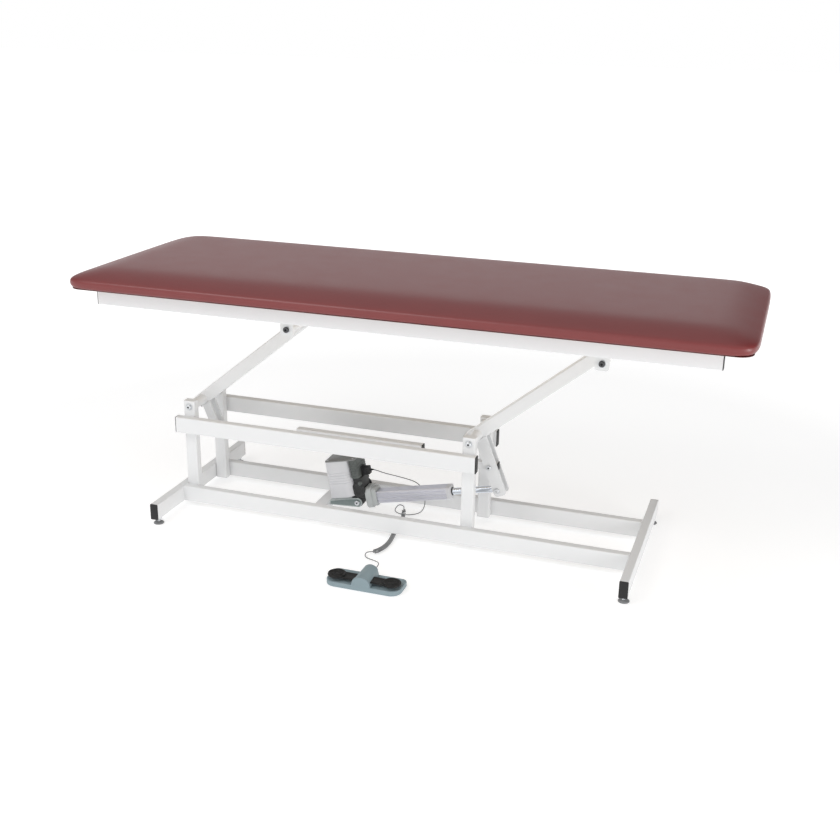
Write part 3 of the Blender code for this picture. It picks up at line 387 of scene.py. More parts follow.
def mottled(name, slot, dark, light, cloud, gloss, bump=None, gloss_cloud=None, **values):
    """A finish with clouds from dark to light. Each pattern is its lumps to a metre and its detail,
    the gloss is how far the roughness spreads and its least value, and a bump ends with its depth."""
    made = Finish(name, slot, **values)
    pattern = made.noise(*cloud)
    made.shade("Base Color", made.blend(pattern, dark, light))
    spread, least = gloss
    made.shade("Roughness", (made.noise(*gloss_cloud) if gloss_cloud else pattern) * spread + least)
    if bump:
        made.bump(made.noise(*bump[:2]), *bump[2:])
    return made


# Dull dark grey plastic sheath
cord_sheath = mottled(
    "cord_sheath", "cord_rubber", (0.18, 0.184, 0.188), (0.25, 0.254, 0.26), (180, 3.0),
    (0.15, 0.38), (2200, 2.0, 0.00004), specular_ior_level=0.45,
)
pedal_cord = tube_mesh("pedal_cord", cord_points, cord_diameter / 2, cord_sides_quarter)
pedal_cord.data.materials.append(cord_sheath.material)
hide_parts("cord_upper_lead", "curly_cord", "cord_lower_lead")
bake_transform(pedal_cord)


# Strain reliefs: short tapered sleeves of black rubber with rings, moulded on the cord where it
# leaves the motor's connector and where it enters the back of the pedal
relief_rings = 4
relief_ring_depth = 0.0005
motor_relief_length = 0.012
motor_relief_radius = 0.0042
pedal_relief_radius = 0.004
relief_tip_radius = cord_diameter / 2 * 1.15
merge_distance = 0.000002


def dressed(made, finish, body, slot=None, replaces=None):
    """Gives an object its finish and the body that it rides on, and hides the node that it stands for; its slot is
    not used.
    """
    made.data.materials.append(finish.material)
    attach(made, body)
    if replaces:
        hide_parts(replaces)
    return made


def finished(name, shape, finish, body, sharp=35, weld=True, **rest):
    """Makes a bmesh a piece of the table: clean, shaded and dressed."""
    if weld:
        bmesh.ops.remove_doubles(shape, verts=shape.verts, dist=merge_distance)
        bmesh.ops.recalc_face_normals(shape, faces=shape.faces)
    mesh = mesh_of(name, shape)
    mesh.shade_smooth()
    mesh.set_sharp_from_angle(angle=math.radians(sharp))
    return dressed(linked(name, mesh), finish, body, **rest)


def moved(shape, matrix):
    bmesh.ops.transform(shape, matrix=matrix, verts=shape.verts)
    return shape


def spun(profile, steps=64, closed=False):
    """A profile of radius and height spun about Z."""
    shape = bmesh.new()
    points = [shape.verts.new((radius, 0, height)) for radius, height in profile]
    edges = [shape.edges.new(pair) for pair in zip(points, points[1:])]
    if closed:
        edges.append(shape.edges.new((points[-1], points[0])))
    bmesh.ops.spin(
        shape, geom=points + edges, cent=(0, 0, 0), axis=(0, 0, 1), dvec=(0, 0, 0),
        angle=math.tau, steps=steps, use_merge=True, use_duplicate=False,
    )
    bmesh.ops.remove_doubles(shape, verts=shape.verts, dist=merge_distance)
    return shape


def turned(name, profile, matrix, finish, body, steps=64, closed=False, **rest):
    """A spun piece, stood where the matrix says."""
    return finished(name, moved(spun(profile, steps, closed), matrix), finish, body, **rest)


def towards(place, direction, across=(0.0, 0.0, 1.0)):
    """The matrix that stands a shape at a place, with its Z along the direction."""
    z = Vector(direction).normalized()
    x = Vector(across) - z * Vector(across).dot(z)
    if x.length < 0.1:
        x = Vector((1, 0, 0)) - z * z.x
    x.normalize()
    return Matrix.Translation(place) @ Matrix((x, z.cross(x), z)).transposed().to_4x4()


def box_of(node):
    """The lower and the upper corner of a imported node."""
    return [Vector(corner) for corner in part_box(node)]


def relief_profile(radius, length):
    """A sleeve that narrows along Z, grooved into rings."""
    profile = [(0, 0), (radius, 0)]
    for i in range(relief_rings * 2):
        share = (i + 1) / (relief_rings * 2 + 1)
        depth = relief_ring_depth if i % 2 else 0
        profile.append((radius + (relief_tip_radius - radius) * share - depth, length * share))
    return [*profile, (relief_tip_radius, length), (0, length)]


# Black rubber with a faint bloom
soft_black = mottled(
    "soft_black", "black_plastic", (0.01, 0.01, 0.011), (0.022, 0.022, 0.023), (90, 4.0),
    (0.2, 0.45), (1800, 2.0, 0.00005), specular_ior_level=0.4,
)
relief_shape = relief_profile(motor_relief_radius, motor_relief_length)
relief_place = towards(cord_exit, exit_direction)
turned("motor_cord_relief", relief_shape, relief_place, soft_black, "actuator", 32)
relief_low, relief_high = box_of("pedal_strain_relief")
relief_end = (relief_low + relief_high) / 2
relief_end.y = relief_low.y
turned(
    "pedal_cord_relief",
    relief_profile(pedal_relief_radius, relief_high.y - relief_low.y),
    towards(relief_end, (0, 1, 0)),
    soft_black,
    "base",
    32,
    slot="cord_rubber",
    replaces="pedal_strain_relief",
)


# Foot pedal: a low moulded base of blue-grey plastic with a hump across its middle that houses the
# switches. It lies loose on the floor on four small rubber pads
pedal_low, pedal_high = box_of("pedal_base")
pedal_middle_x = (pedal_low.x + pedal_high.x) / 2
pedal_depth = 0.086
pedal_thickness = 0.015
pedal_lift = 0.0015
pedal_far_corner = 0.016
pedal_near_corner = 0.03
pedal_edge = 0.0022
pedal_rim = 0.005
pedal_recess = 0.0016
hump_front = (0.058, 0.05, 0.041)
hump_back = (0.052, 0.042, 0.044)
hump_arch_share = 0.8
hump_base_z = 0.006
hump_edge = 0.003
hump_steps = 14
hump_front_inset = 0.0008
hump_back_inset = 0.0003
hump_collar = 0.009
hump_collar_lift = 0.0012
hump_collar_edge = 0.0008
hump_collar_overhang = 0.0004
pedal_foot_radius = 0.006
pedal_foot_height = 0.002
pedal_foot_edge = 0.0006
ends = ((-1, "left"), (1, "right"))
sides = ((-1, "near"), (1, "far"))


def box_shape(low, high):
    shape = bmesh.new()
    bmesh.ops.create_cube(shape, size=1)
    low, high = Vector(low), Vector(high)
    bmesh.ops.scale(shape, vec=high - low, verts=shape.verts)
    bmesh.ops.translate(shape, vec=(low + high) / 2, verts=shape.verts)
    return shape


def rounded(shape, edges, width, segments):
    bmesh.ops.bevel(
        shape, geom=list(edges), offset=width, offset_type="OFFSET", affect="EDGES",
        segments=segments, profile=0.5, material=-1, clamp_overlap=True,
    )
    shape.normal_update()
    return shape


def inset(shape, faces, width, depth=0):
    bmesh.ops.inset_region(shape, faces=faces, thickness=width, depth=depth)


def edges_along(shape, axis):
    """The edges that run along one axis, 0 to 2."""
    runs = ((edge, edge.verts[1].co - edge.verts[0].co) for edge in shape.edges)
    return [edge for edge, run in runs if abs(run[axis]) > 0.999 * run.length]


def faces_towards(shape, axis, sign):
    return [face for face in shape.faces if face.normal[axis] * sign > 0.99]


def rim_edges(shape, axis, *signs):
    """The edges round the faces that look along an axis, one way or both."""
    found = []
    for sign in signs:
        facing = faces_towards(shape, axis, sign)
        edges = {edge for face in facing for edge in face.edges}
        found += [edge for edge in edges if sum(face in facing for face in edge.link_faces) == 1]
    return found


def lofted(sections, closed=False):
    """A shell through outlines with the same number of points, capped or closed to a ring."""
    shape = bmesh.new()
    rings = []
    for section in sections:
        ring = [shape.verts.new(point) for point in section]
        edges = [shape.edges.new((a, b)) for a, b in zip(ring, ring[1:] + ring[:1])]
        rings.append((ring, edges))
    pairs = list(zip(rings, rings[1:]))
    if closed:
        pairs.append((rings[-1], rings[0]))
    for (_, first), (_, second) in pairs:
        bmesh.ops.bridge_loops(shape, edges=first + second)
    if not closed:
        shape.faces.new(rings[0][0])
        shape.faces.new(rings[-1][0])
    bmesh.ops.recalc_face_normals(shape, faces=shape.faces)
    return shape


def hump_section(y, measures, grow=0.0):
    """The hump's outline at one depth, from its width at the root and the top and its height."""
    root, top, height = measures[0] + 2 * grow, measures[1] + 2 * grow, measures[2] + grow
    arch = top / 2
    shoulder = height - arch * hump_arch_share
    points = [Vector((pedal_middle_x - root / 2, y, hump_base_z))]
    for i in range(hump_steps + 1):
        angle = math.radians(180 - 180 * i / hump_steps)
        across = pedal_middle_x + arch * math.cos(angle)
        points.append(Vector((across, y, shoulder + arch * hump_arch_share * math.sin(angle))))
    points.append(Vector((pedal_middle_x + root / 2, y, hump_base_z)))
    return points


# Blue-grey moulded plastic with a fine spark-eroded texture
pedal_plastic = mottled(
    "pedal_plastic_finish", "pedal_plastic", (0.218, 0.288, 0.318), (0.255, 0.328, 0.356), (22, 3.0),
    (0.14, 0.4), (3000, 1.0, 0.00005), (60, 3.0), specular_ior_level=0.45,
)
pedal_far_y = pedal_low.y + pedal_depth
base_plate = box_shape(
    (pedal_low.x, pedal_low.y, pedal_lift), (pedal_high.x, pedal_far_y, pedal_thickness)
)
upright = edges_along(base_plate, 2)
near_upright = [edge for edge in upright if edge.verts[0].co.y < pedal_low.y + pedal_depth / 2]
far_upright = [edge for edge in upright if edge not in near_upright]
rounded(base_plate, near_upright, pedal_near_corner, 10)
rounded(base_plate, far_upright, pedal_far_corner, 8)
top_faces = faces_towards(base_plate, 2, 1)
inset(base_plate, top_faces, pedal_rim)
top_faces = [face for face in faces_towards(base_plate, 2, 1) if len(face.verts) > 8]
inset(base_plate, top_faces, pedal_recess, -pedal_recess)
base_plate.normal_update()
outer = [
    edge
    for edge in base_plate.edges
    if all(vertex.co.z > pedal_thickness - 0.0001 for vertex in edge.verts)
    and len(edge.link_faces) == 2
    and any(abs(face.normal.z) < 0.1 for face in edge.link_faces)
]
rounded(base_plate, outer, pedal_edge, 3)
finished("pedal_plate", base_plate, pedal_plastic, "base", 40, replaces="pedal_base")
hump_front_y = pedal_low.y + hump_front_inset
hump_back_y = pedal_low.y + pedal_depth - hump_back_inset
hump_shape = lofted([hump_section(hump_front_y, hump_front), hump_section(hump_back_y, hump_back)])
hump_rims = [edge for edge in hump_shape.edges if abs(edge.verts[0].co.y - edge.verts[1].co.y) < 0.0001]
finished("pedal_hump", rounded(hump_shape, hump_rims, hump_edge, 3), pedal_plastic, "base", 40)

# The raised band round the hump's front arch
band_start = hump_front_y - hump_collar_overhang
band_depths = (band_start, band_start + hump_collar)
front_band = lofted([hump_section(y, hump_front, hump_collar_lift) for y in band_depths])
rounded(front_band, rim_edges(front_band, 1, -1, 1), hump_collar_edge, 2)
finished("pedal_hump_band", front_band, pedal_plastic, "base", 40)

for side_x, end in ends:
    for side_y, side in sides:
        foot_x = pedal_middle_x + side_x * ((pedal_high.x - pedal_low.x) / 2 - pedal_far_corner)
        foot_y = pedal_low.y + pedal_depth / 2 + side_y * (pedal_depth / 2 - pedal_far_corner)
        foot_profile = [(0, pedal_foot_height), (pedal_foot_radius, pedal_foot_height)]
        foot_profile += [(pedal_foot_radius, pedal_foot_edge), (pedal_foot_radius * 0.9, 0), (0, 0)]
        foot_place = Matrix.Translation((foot_x, foot_y, 0))
        turned(f"pedal_foot_{end}_{side}", foot_profile, foot_place, soft_black, "base", 24)


# Pedal pads: round dished pads of black rubber with rings, each on a short framed arm that
# springs back up after a press
pad_radius = 0.026
pad_ring_radii = (0.0075, 0.012, 0.0165)
pad_ring_low = 0.0022
pad_ring_high = 0.0014
pad_ring_root = 0.0012
pad_ring_top = 0.0006
pad_arm_width = 0.034
pad_arm_thickness = 0.0045
pad_arm_lift = 0.0003
pad_arm_rim = 0.004
pad_arm_slope = 0.0006
pad_arm_recess = 0.0008
pad_arm_edge = 0.0004

# Black rubber, a little glossy where shoes polish the rim
pad_rubber = mottled(
    "pad_rubber", "black_plastic", (0.007, 0.007, 0.007), (0.014, 0.014, 0.015), (70, 4.0),
    (0.2, 0.42), (1500, 3.0, 0.00005), specular_ior_level=0.3,
)
for sign, end in ends:
    low, high = box_of(f"pedal_pad_{end}")
    pad_x = low.x + pad_radius if sign < 0 else high.x - pad_radius
    pad_y = (low.y + high.y) / 2
    crown = high.z
    profile = [(0, crown - pad_ring_low)]
    for ring in pad_ring_radii:
        floor, top = crown - pad_ring_low, crown - pad_ring_high
        profile += [(ring - pad_ring_root, floor), (ring - pad_ring_top, top)]
        profile += [(ring + pad_ring_top, top), (ring + pad_ring_root, floor)]
    profile += [(pad_radius * 0.76, crown - 0.0016), (pad_radius * 0.84, crown - 0.0002)]
    profile += [(pad_radius * 0.9, crown), (pad_radius * 0.97, crown - 0.0008)]
    profile += [(pad_radius, crown - 0.0025), (pad_radius, low.z + 0.0022)]
    profile += [(pad_radius * 0.95, low.z + 0.0007), (pad_radius * 0.82, low.z), (0, low.z)]
    pad_place = Matrix.Translation((pad_x, pad_y, 0))
    pad_rest = {"sharp": 50, "replaces": f"pedal_pad_{end}"}
    turned(f"pad_disc_{end}", profile, pad_place, pad_rubber, f"pad_{end}", **pad_rest)
    arm_ends = sorted((high.x if sign < 0 else low.x, pad_x - sign * pad_radius * 0.55))
    arm_bottom = low.z + pad_arm_lift
    arm_shape = box_shape(
        (arm_ends[0], pad_y - pad_arm_width / 2, arm_bottom),
        (arm_ends[1], pad_y + pad_arm_width / 2, arm_bottom + pad_arm_thickness),
    )
    arm_shape.normal_update()
    panel = faces_towards(arm_shape, 2, 1)
    inset(arm_shape, panel, pad_arm_rim)
    inset(arm_shape, panel, pad_arm_slope, -pad_arm_recess)
    arm_shape.normal_update()
    rounded(arm_shape, edges_along(arm_shape, 2) + rim_edges(arm_shape, 2, 1), pad_arm_edge, 2)
    finished(f"pad_arm_{end}", arm_shape, pad_rubber, f"pad_{end}")


# Base frame: rectangular steel tube, welded, ground and powder coated white. The tubes are the
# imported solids, and the beads are the fillet welds that join them
bead_radius = 0.0022
bead_ripple_pitch = 0.0022
bead_step = 0.0006
weld_trim = 0.003
post_weld_trim = 0.004

# White powder coat with its fine orange peel
powder_coat = mottled(
    "powder_coat", "white_enamel", (0.735, 0.742, 0.75), (0.765, 0.772, 0.776), (5, 3.0),
    (0.12, 0.26), (420, 2.0, 0.00008, 0.6), (35, 3.0), specular_ior_level=0.5, coat_roughness=0.12,
)
powder_coat.shade("Coat Weight", powder_coat.noise(5, 3.0) * 0.1 + 0.2)
for row in frame["record"]["subparts"]:
    if row["material_slot"] == "white_enamel":
        for material_slot in frame["nodes"][row["node"]].material_slots:
            material_slot.material = powder_coat.material


def weld_bead(name, start, end, body):
    """A rippled bead between two places."""
    start, end = Vector(start), Vector(end)
    count = max(4, round((end - start).length / bead_step))
    points = [start.lerp(end, i / count) for i in range(count + 1)]
    turns = [math.tau * i * bead_step / bead_ripple_pitch for i in range(count + 1)]
    ripples = [0.88 + 0.12 * math.cos(turn) for turn in turns]
    ripples[0] = ripples[-1] = 0.35
    dressed(tube_mesh(name, points, bead_radius, 1, ripples), powder_coat, body)


def seam(name, place, axis, low, high, body="base", trim=weld_trim):
    """A bead along one axis, which stops short of both values there."""
    start, end = list(place), list(place)
    start[axis], end[axis] = low + trim, high - trim
    weld_bead(name, start, end, body)


for _, end in ends:
    bar_low, bar_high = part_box(f"foot_bar_{end}")
    seam_x = bar_high[0] if end == "left" else bar_low[0]
    for _, side in sides:
        low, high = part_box(f"lower_rail_{side}")
        for y, label in ((low[1], "outer"), (high[1], "inner")):
            seam(f"weld_{side}_{end}_{label}", (seam_x, y, 0), 2, low[2], high[2])
        seam(f"weld_{side}_{end}_top", (seam_x, 0, high[2]), 1, low[1], high[1])
        post_low, post_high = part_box(f"post_{side}_{end}")
        upper_low, upper_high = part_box(f"upper_rail_{side}")
        y = low[1] if side == "far" else high[1]
        for z, label in ((high[2], "lower"), (upper_low[2], "under"), (upper_high[2], "upper")):
            name = f"weld_post_{side}_{end}_{label}"
            seam(name, (0, y, z), 0, post_low[0], post_high[0], trim=post_weld_trim)
low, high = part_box("actuator_crossbar")
for side, y in (("near", low[1]), ("far", high[1])):
    seam(f"weld_crossbar_{side}", (0, y, high[2]), 0, low[0], high[0])


# Welds of the top frame and the link: the ears hang from the crossbars of the top frame, the
# crossbars join the side rails, and short stitches hold the stiffening tube on the link
stitch_length = 0.03
stitch_count = 5
for _, end in ends:
    hanger_low, hanger_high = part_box(f"hanger_{end}")
    for _, side in sides:
        low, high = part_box(f"ear_{side}_{end}")
        for y, label in ((low[1], "low"), (high[1], "high")):
            place = (0, y, hanger_low[2])
            seam(f"weld_ear_{side}_{end}_{label}", place, 0, low[0], high[0], "top")
        y = hanger_low[1] if side == "near" else hanger_high[1]
        for x, label in ((hanger_low[0], "low"), (hanger_high[0], "high")):
            name = f"weld_hanger_{side}_{end}_{label}"
            seam(name, (x, y, 0), 2, hanger_low[2], hanger_high[2], "top")
        name = f"weld_hanger_{side}_{end}_under"
        seam(name, (0, y, hanger_low[2]), 0, hanger_low[0], hanger_high[0], "top")
low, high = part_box("link_stiffener")
stitch_pitch = (high[0] - low[0] - stitch_length) / (stitch_count - 1)
for side, y in (("near", low[1]), ("far", high[1])):
    for i in range(stitch_count):
        start = low[0] + i * stitch_pitch
        name = f"weld_stiffener_{side}_{i + 1}"
        seam(name, (0, y, low[2]), 0, start, start + stitch_length, "link", 0)


# End plugs: black ribbed plastic caps pushed into the open ends of the tubes
plug_flange = 0.0024
plug_edge = 0.0009
plug_corner = 0.003
plug_stem = 0.012
plug_stem_wall = 0.0026
plug_rib_half = 0.0006


def merged(*shapes):
    """Several loose shapes as one bmesh."""
    whole = bmesh.new()
    for shape in shapes:
        mesh = mesh_of("part_of_piece", shape)
        whole.from_mesh(mesh)
        bpy.data.meshes.remove(mesh)
    return whole


def end_plug(name, place, outward, across, deep, across_axis, body):
    """A flange over the tube's end and a ribbed stem inside it."""
    flange = box_shape((-across / 2, -deep / 2, 0.0001), (across / 2, deep / 2, plug_flange))
    rounded(flange, edges_along(flange, 2), plug_corner, 4)
    rounded(flange, rim_edges(flange, 2, 1), plug_edge, 3)
    x, y = across / 2 - plug_stem_wall, deep / 2 - plug_stem_wall
    parts = [flange, box_shape((-x * 0.9, -y * 0.94, -plug_stem), (x * 0.9, y * 0.94, 0.0005))]
    for share in (0.25, 0.5, 0.75):
        z = -plug_stem * share
        parts.append(box_shape((-x, -y, z - plug_rib_half), (x, y, z + plug_rib_half)))
    plug = moved(merged(*parts), towards(place, outward, across_axis))
    finished(name, plug, soft_black, body, weld=False)


for node, axis, signs, body in (
    ("foot_bar_left", 1, (-1, 1), "base"),
    ("foot_bar_right", 1, (-1, 1), "base"),
    ("upper_rail_near", 0, (-1, 1), "base"),
    ("side_rail_near", 0, (-1, 1), "top"),
    ("upper_rail_far", 0, (-1, 1), "base"),
    ("side_rail_far", 0, (-1, 1), "top"),
    ("tie_link", 0, (-1, 1), "link"),
    ("link_stiffener", 0, (1,), "link"),
):
    low, high = box_of(node)
    size = high - low
    first, second = (k for k in range(3) if k != axis)
    for sign in signs:
        place = (low + high) / 2
        place[axis] = high[axis] if sign > 0 else low[axis]
        outward, across_axis = Vector(), Vector()
        outward[axis], across_axis[first] = sign, 1
        name = f"plug_{node}_{'high' if sign > 0 else 'low'}"
        end_plug(name, place, outward, size[first], size[second], across_axis, body)


# Levelling feet: a nylon glide on a zinc plated threaded stud, held by a hexagon lock nut. The
# glide's profile is in shares of its radius, with real heights
glide_profile = ((0, 0.0062), (0.55, 0.0062), (0.86, 0.0046), (0.97, 0.003), (1, 0.002))
glide_profile += ((1, 0.0009), (0.96, 0.0), (0, 0.0))
stud_radius = 0.005
stud_start = 0.0055
thread_pitch = 0.0015
thread_depth = 0.0006
nut_radius = 0.0098
nut_height = 0.006
nut_chamfer = 0.0006

# Bright zinc plating with a faint blue cast and a dull bloom, and grey nylon, scuffed on its rim
zinc_plate = mottled(
    "zinc_plate", "zinc_steel", (0.6, 0.63, 0.66), (0.74, 0.75, 0.76), (160, 4.0), (0.18, 0.2),
    (1400, 3.0, 0.00004), metallic=1.0,
)
glide_plastic = mottled(
    "glide_plastic", "foot_rubber", (0.16, 0.165, 0.17), (0.26, 0.265, 0.27), (140, 4.0),
    (0.2, 0.4), (900, 3.0, 0.00006), specular_ior_level=0.4,
)


def hexagon(radius, low, high, chamfer):
    """A six-sided block with chamfered rims."""
    shape = bmesh.new()
    bmesh.ops.create_circle(shape, cap_ends=True, segments=6, radius=radius)
    grown = bmesh.ops.extrude_face_region(shape, geom=list(shape.faces))
    top = [item for item in grown["geom"] if isinstance(item, bmesh.types.BMVert)]
    bmesh.ops.translate(shape, verts=top, vec=(0, 0, high - low))
    bmesh.ops.translate(shape, verts=shape.verts, vec=(0, 0, low))
    bmesh.ops.recalc_face_normals(shape, faces=shape.faces)
    return rounded(shape, rim_edges(shape, 2, 1, -1), chamfer, 2)


for _, end in ends:
    for _, side in sides:
        node, body = f"levelling_foot_{side}_{end}", f"foot_{side}_{end}"
        low, high = box_of(node)
        middle = (low + high) / 2
        centre = Matrix.Translation((middle.x, middle.y, 0))
        rim = (high.x - low.x) / 2
        profile = [(rim * share, height) for share, height in glide_profile]
        name = f"glide_{side}_{end}"
        turned(name, profile, centre, glide_plastic, body, 48, sharp=40, replaces=node)
        thread = [(0, high.z)]
        for i in range(int((high.z - stud_start) / thread_pitch), -1, -1):
            height = stud_start + i * thread_pitch
            thread += [(stud_radius - thread_depth, min(height + thread_pitch / 2, high.z))]
            thread += [(stud_radius, min(height, high.z))]
        thread += [(0, stud_start)]
        turned(f"stud_{side}_{end}", thread, centre, zinc_plate, body, 32)
        nut = moved(hexagon(nut_radius, high.z - nut_height, high.z - 0.0001, nut_chamfer), centre)
        finished(f"lock_nut_{side}_{end}", nut, zinc_plate, body, 25)


# Pivot bolts: steel shafts through the posts and the ears, each end with a plain washer and a
# low round head with a hexagon socket. The ones in the ears are blackened. A head's size is its
# radius, its height and its socket's radius
axle_head = (0.009, 0.0055, 0.0036)
socket_depth = 0.003
washer_radius = 0.011
washer_thickness = 0.0016
shaft_radius = 0.006
head_sides = 48

# Blackened steel, oily and slightly worn, and a painted shadow for the inside of a socket
black_oxide = mottled(
    "black_oxide", "zinc_steel", (0.055, 0.056, 0.06), (0.13, 0.13, 0.135), (200, 4.0),
    (0.2, 0.25), (1200, 3.0, 0.00004), metallic=0.9,
)
socket_shadow = mottled(
    "socket_shadow", None, (0.012, 0.012, 0.014), (0.035, 0.036, 0.04), (400, 2.0), (0.2, 0.4),
    metallic=0.6,
)


def cut_hexagon(shape, floor, socket):
    """Draws the round socket above its floor in to a hexagon."""
    for vertex in shape.verts:
        reach = math.hypot(vertex.co.x, vertex.co.y)
        if vertex.co.z > floor - 0.0001 and abs(reach - socket) < 0.0001:
            turn = math.atan2(vertex.co.y, vertex.co.x) % math.radians(60) - math.radians(30)
            share = math.cos(math.radians(30)) / math.cos(turn)
            vertex.co.x *= share
            vertex.co.y *= share


def bolt_head(name, place, outward, size, finish, body, slot=None):
    """A low domed head with a hexagon socket, whose faces take a painted shadow."""
    radius, height, socket = size
    floor = height - min(socket_depth, height * 0.7)
    profile = [(0, floor), (socket, floor), (socket, height), (radius * 0.62, height)]
    for i in range(1, 6):
        angle = math.radians(90 * i / 5)
        reach = radius * (0.62 + 0.38 * math.sin(angle))
        profile.append((reach, height * (0.45 + 0.55 * math.cos(angle))))
    profile += [(radius, 0), (0, 0)]
    shape = spun(profile, head_sides)
    cut_hexagon(shape, floor, socket)
    moved(shape, towards(place, outward))
    piece = finished(name, shape, finish, body, 40, slot=slot)
    # The socket's faces get the painted shadow
    piece.data.materials.append(socket_shadow.material)
    axis = Vector(outward).normalized()
    for face in piece.data.polygons:
        away = Vector(face.center) - Vector(place)
        if (away - axis * away.dot(axis)).length < socket * 0.98 and away.dot(axis) > height * 0.15:
            face.material_index = 1


def shaft(node, place, radius, half, finish, body):
    """A plain shaft across the table, which replaces a packed pin or axle."""
    profile = [(0, half), (radius, half), (radius, -half), (0, -half)]
    stand = towards(place, (0, 1, 0))
    turned(f"{node}_shaft", profile, stand, finish, body, head_sides, replaces=node)


def pivot_bolt(node, finish, body):
    """Replaces one packed axle with a shaft, two washers and two heads."""
    low, high = box_of(node)
    middle = (low + high) / 2
    half = (high.y - low.y) / 2 - axle_head[1] - washer_thickness
    shaft(node, middle, shaft_radius, half, finish, body)
    radius, thickness, edge = washer_radius, washer_thickness, washer_thickness * 0.2
    profile = [(shaft_radius, 0), (radius - edge, 0), (radius, edge), (radius, thickness - edge)]
    profile += [(radius - edge, thickness), (shaft_radius, thickness)]
    for sign, side in sides:
        outward = Vector((0, sign, 0))
        seat = middle + outward * half
        stand = towards(seat, outward)
        name = f"{node}_washer_{side}"
        turned(name, profile, stand, zinc_plate, body, head_sides, closed=True, sharp=30)
        head_seat = seat + outward * thickness
        bolt_head(f"{node}_head_{side}", head_seat, outward, axle_head, finish, body)


for level, finish, body in (("lower", zinc_plate, "base"), ("upper", black_oxide, "top")):
    for _, end in ends:
        pivot_bolt(f"{level}_axle_{end}", finish, body)


# Pivot tubes: round steel tubes that turn on the bolts, with a bronze-coloured bush in each end,
# welded through the arms
sleeve_wall = 0.0028
sleeve_edge = 0.0006
bush_flange = 0.0006
bush_length = 0.018
bush_wall_gap = 0.003
bush_clearance = 0.0002
sleeve_weld_reach = 0.0191
sleeve_weld_radius = 0.0018
sleeve_weld_steps = 96

# Oiled sintered bronze
bush_bronze = mottled(
    "bush_bronze", "zinc_steel", (0.36, 0.25, 0.13), (0.5, 0.36, 0.2), (500, 3.0), (0.2, 0.35),
    metallic=1.0,
)
for node in (f"{level}_pivot_tube_{end}" for level in ("lower", "upper") for _, end in ends):
    body = f"{node.split('_')[-1]}_arm"
    low, high = box_of(node)
    middle = (low + high) / 2
    half = (high.y - low.y) / 2
    outer = (high.x - low.x) / 2
    edge, inner = outer - sleeve_edge, outer - sleeve_wall
    profile = [(inner, half), (edge, half), (outer, half - sleeve_edge)]
    profile += [(outer, sleeve_edge - half), (edge, -half), (inner, -half)]
    rest = {"closed": True, "sharp": 30, "replaces": node}
    turned(f"{node}_sleeve", profile, towards(middle, (0, 1, 0)), powder_coat, body, **rest)
    for sign, side in sides:
        bore, reach = shaft_radius + bush_clearance, outer - bush_wall_gap
        ring = [(bore, 0), (reach, 0), (reach, -bush_length), (bore, -bush_length)]
        bush_seat = towards(middle + Vector((0, sign * (half + bush_flange / 2), 0)), (0, sign, 0))
        turned(f"{node}_bush_{side}", ring, bush_seat, bush_bronze, body, closed=True)
    for sign, side in sides:
        bead_places, ripple = [], []
        for i in range(sleeve_weld_steps + 1):
            turn = math.tau * i / sleeve_weld_steps
            spoke = (outer * math.cos(turn), sign * sleeve_weld_reach, outer * math.sin(turn))
            bead_places.append(middle + Vector(spoke))
            ripple.append(0.85 + 0.15 * math.cos(math.tau * i / 4))
        bead = tube_mesh(f"weld_{node}_{side}", bead_places, sleeve_weld_radius, 1, ripple)
        dressed(bead, powder_coat, body)


# Arms and levers: square steel tubes with a plug in each end, and the plates welded under them,
# with bright round-headed bolts for the tie link and for the rod's eye
arm_size = 0.0381
arm_upper_margin = 0.019
lever_head = (0.0085, 0.0052, 0.003)
cross_pin_radius = 0.005
lever_head_gap = 0.0002
lever_angle = math.radians(-68.5)
lever_offset = 0.006
rod_pin_distance = 0.1826
right_pivot, left_pivot, upper_right_pivot, link_pin_right = (
    Vector(joint_places[name]) for name in ("lift", "left_arm_swing", "top_level", "link_level")
)
arm_length = (upper_right_pivot - right_pivot).length
arm_direction = (upper_right_pivot - right_pivot).normalized()
arm_down = Vector((arm_direction.z, 0, -arm_direction.x))
lever_direction = Vector((math.cos(lever_angle), 0, math.sin(lever_angle)))
lever_side = Vector((-lever_direction.z, 0, lever_direction.x))
lever_outer_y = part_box("left_lever_far")[1][1] - rear_pin.y


def lever_heads(name, place, outer_y, body):
    """The two heads of a pin through a pair of plates."""
    for sign, side in sides:
        seat = place + Vector((0, sign * (outer_y + lever_head_gap), 0))
        bolt_head(f"{name}_head_{side}", seat, (0, sign, 0), lever_head, zinc_plate, body)


# Each arm's pivot, how far its lower end runs past that, and the width of its levers
arms = {"right": (right_pivot, 0.036, 0.038), "left": (left_pivot, 0.02, 0.03)}
for end, (pivot, overrun, _) in arms.items():
    for level, outward, reach in (
        ("lower", -arm_direction, overrun),
        ("upper", arm_direction, arm_length + arm_upper_margin),
    ):
        place = pivot + outward * reach
        name = f"plug_{end}_arm_{level}"
        end_plug(name, place, outward, arm_size, arm_size, (0, 1, 0), f"{end}_arm")
for _, end in ends:
    pivot, _, lever_width = arms[end]
    half_seam = lever_width / 2 - weld_trim
    seam_ends = []
    for across in (lever_offset - half_seam, lever_offset + half_seam):
        drop = (arm_size / 2 - across * lever_side.dot(arm_down)) / lever_direction.dot(arm_down)
        seam_ends.append(pivot + lever_direction * drop + lever_side * across)
    for sign, side in sides:
        start, stop = (place + Vector((0, sign * arm_size / 2, 0)) for place in seam_ends)
        weld_bead(f"weld_lever_{side}_{end}", start, stop, f"{end}_arm")
for _, end in ends:
    link_pin = link_pin_right + (arms[end][0] - right_pivot)
    shaft(f"link_pin_{end}", link_pin, cross_pin_radius, lever_outer_y, zinc_plate, f"{end}_arm")
    lever_heads(f"link_pin_{end}", link_pin, lever_outer_y, f"{end}_arm")
rod_pin = right_pivot + lever_direction * rod_pin_distance
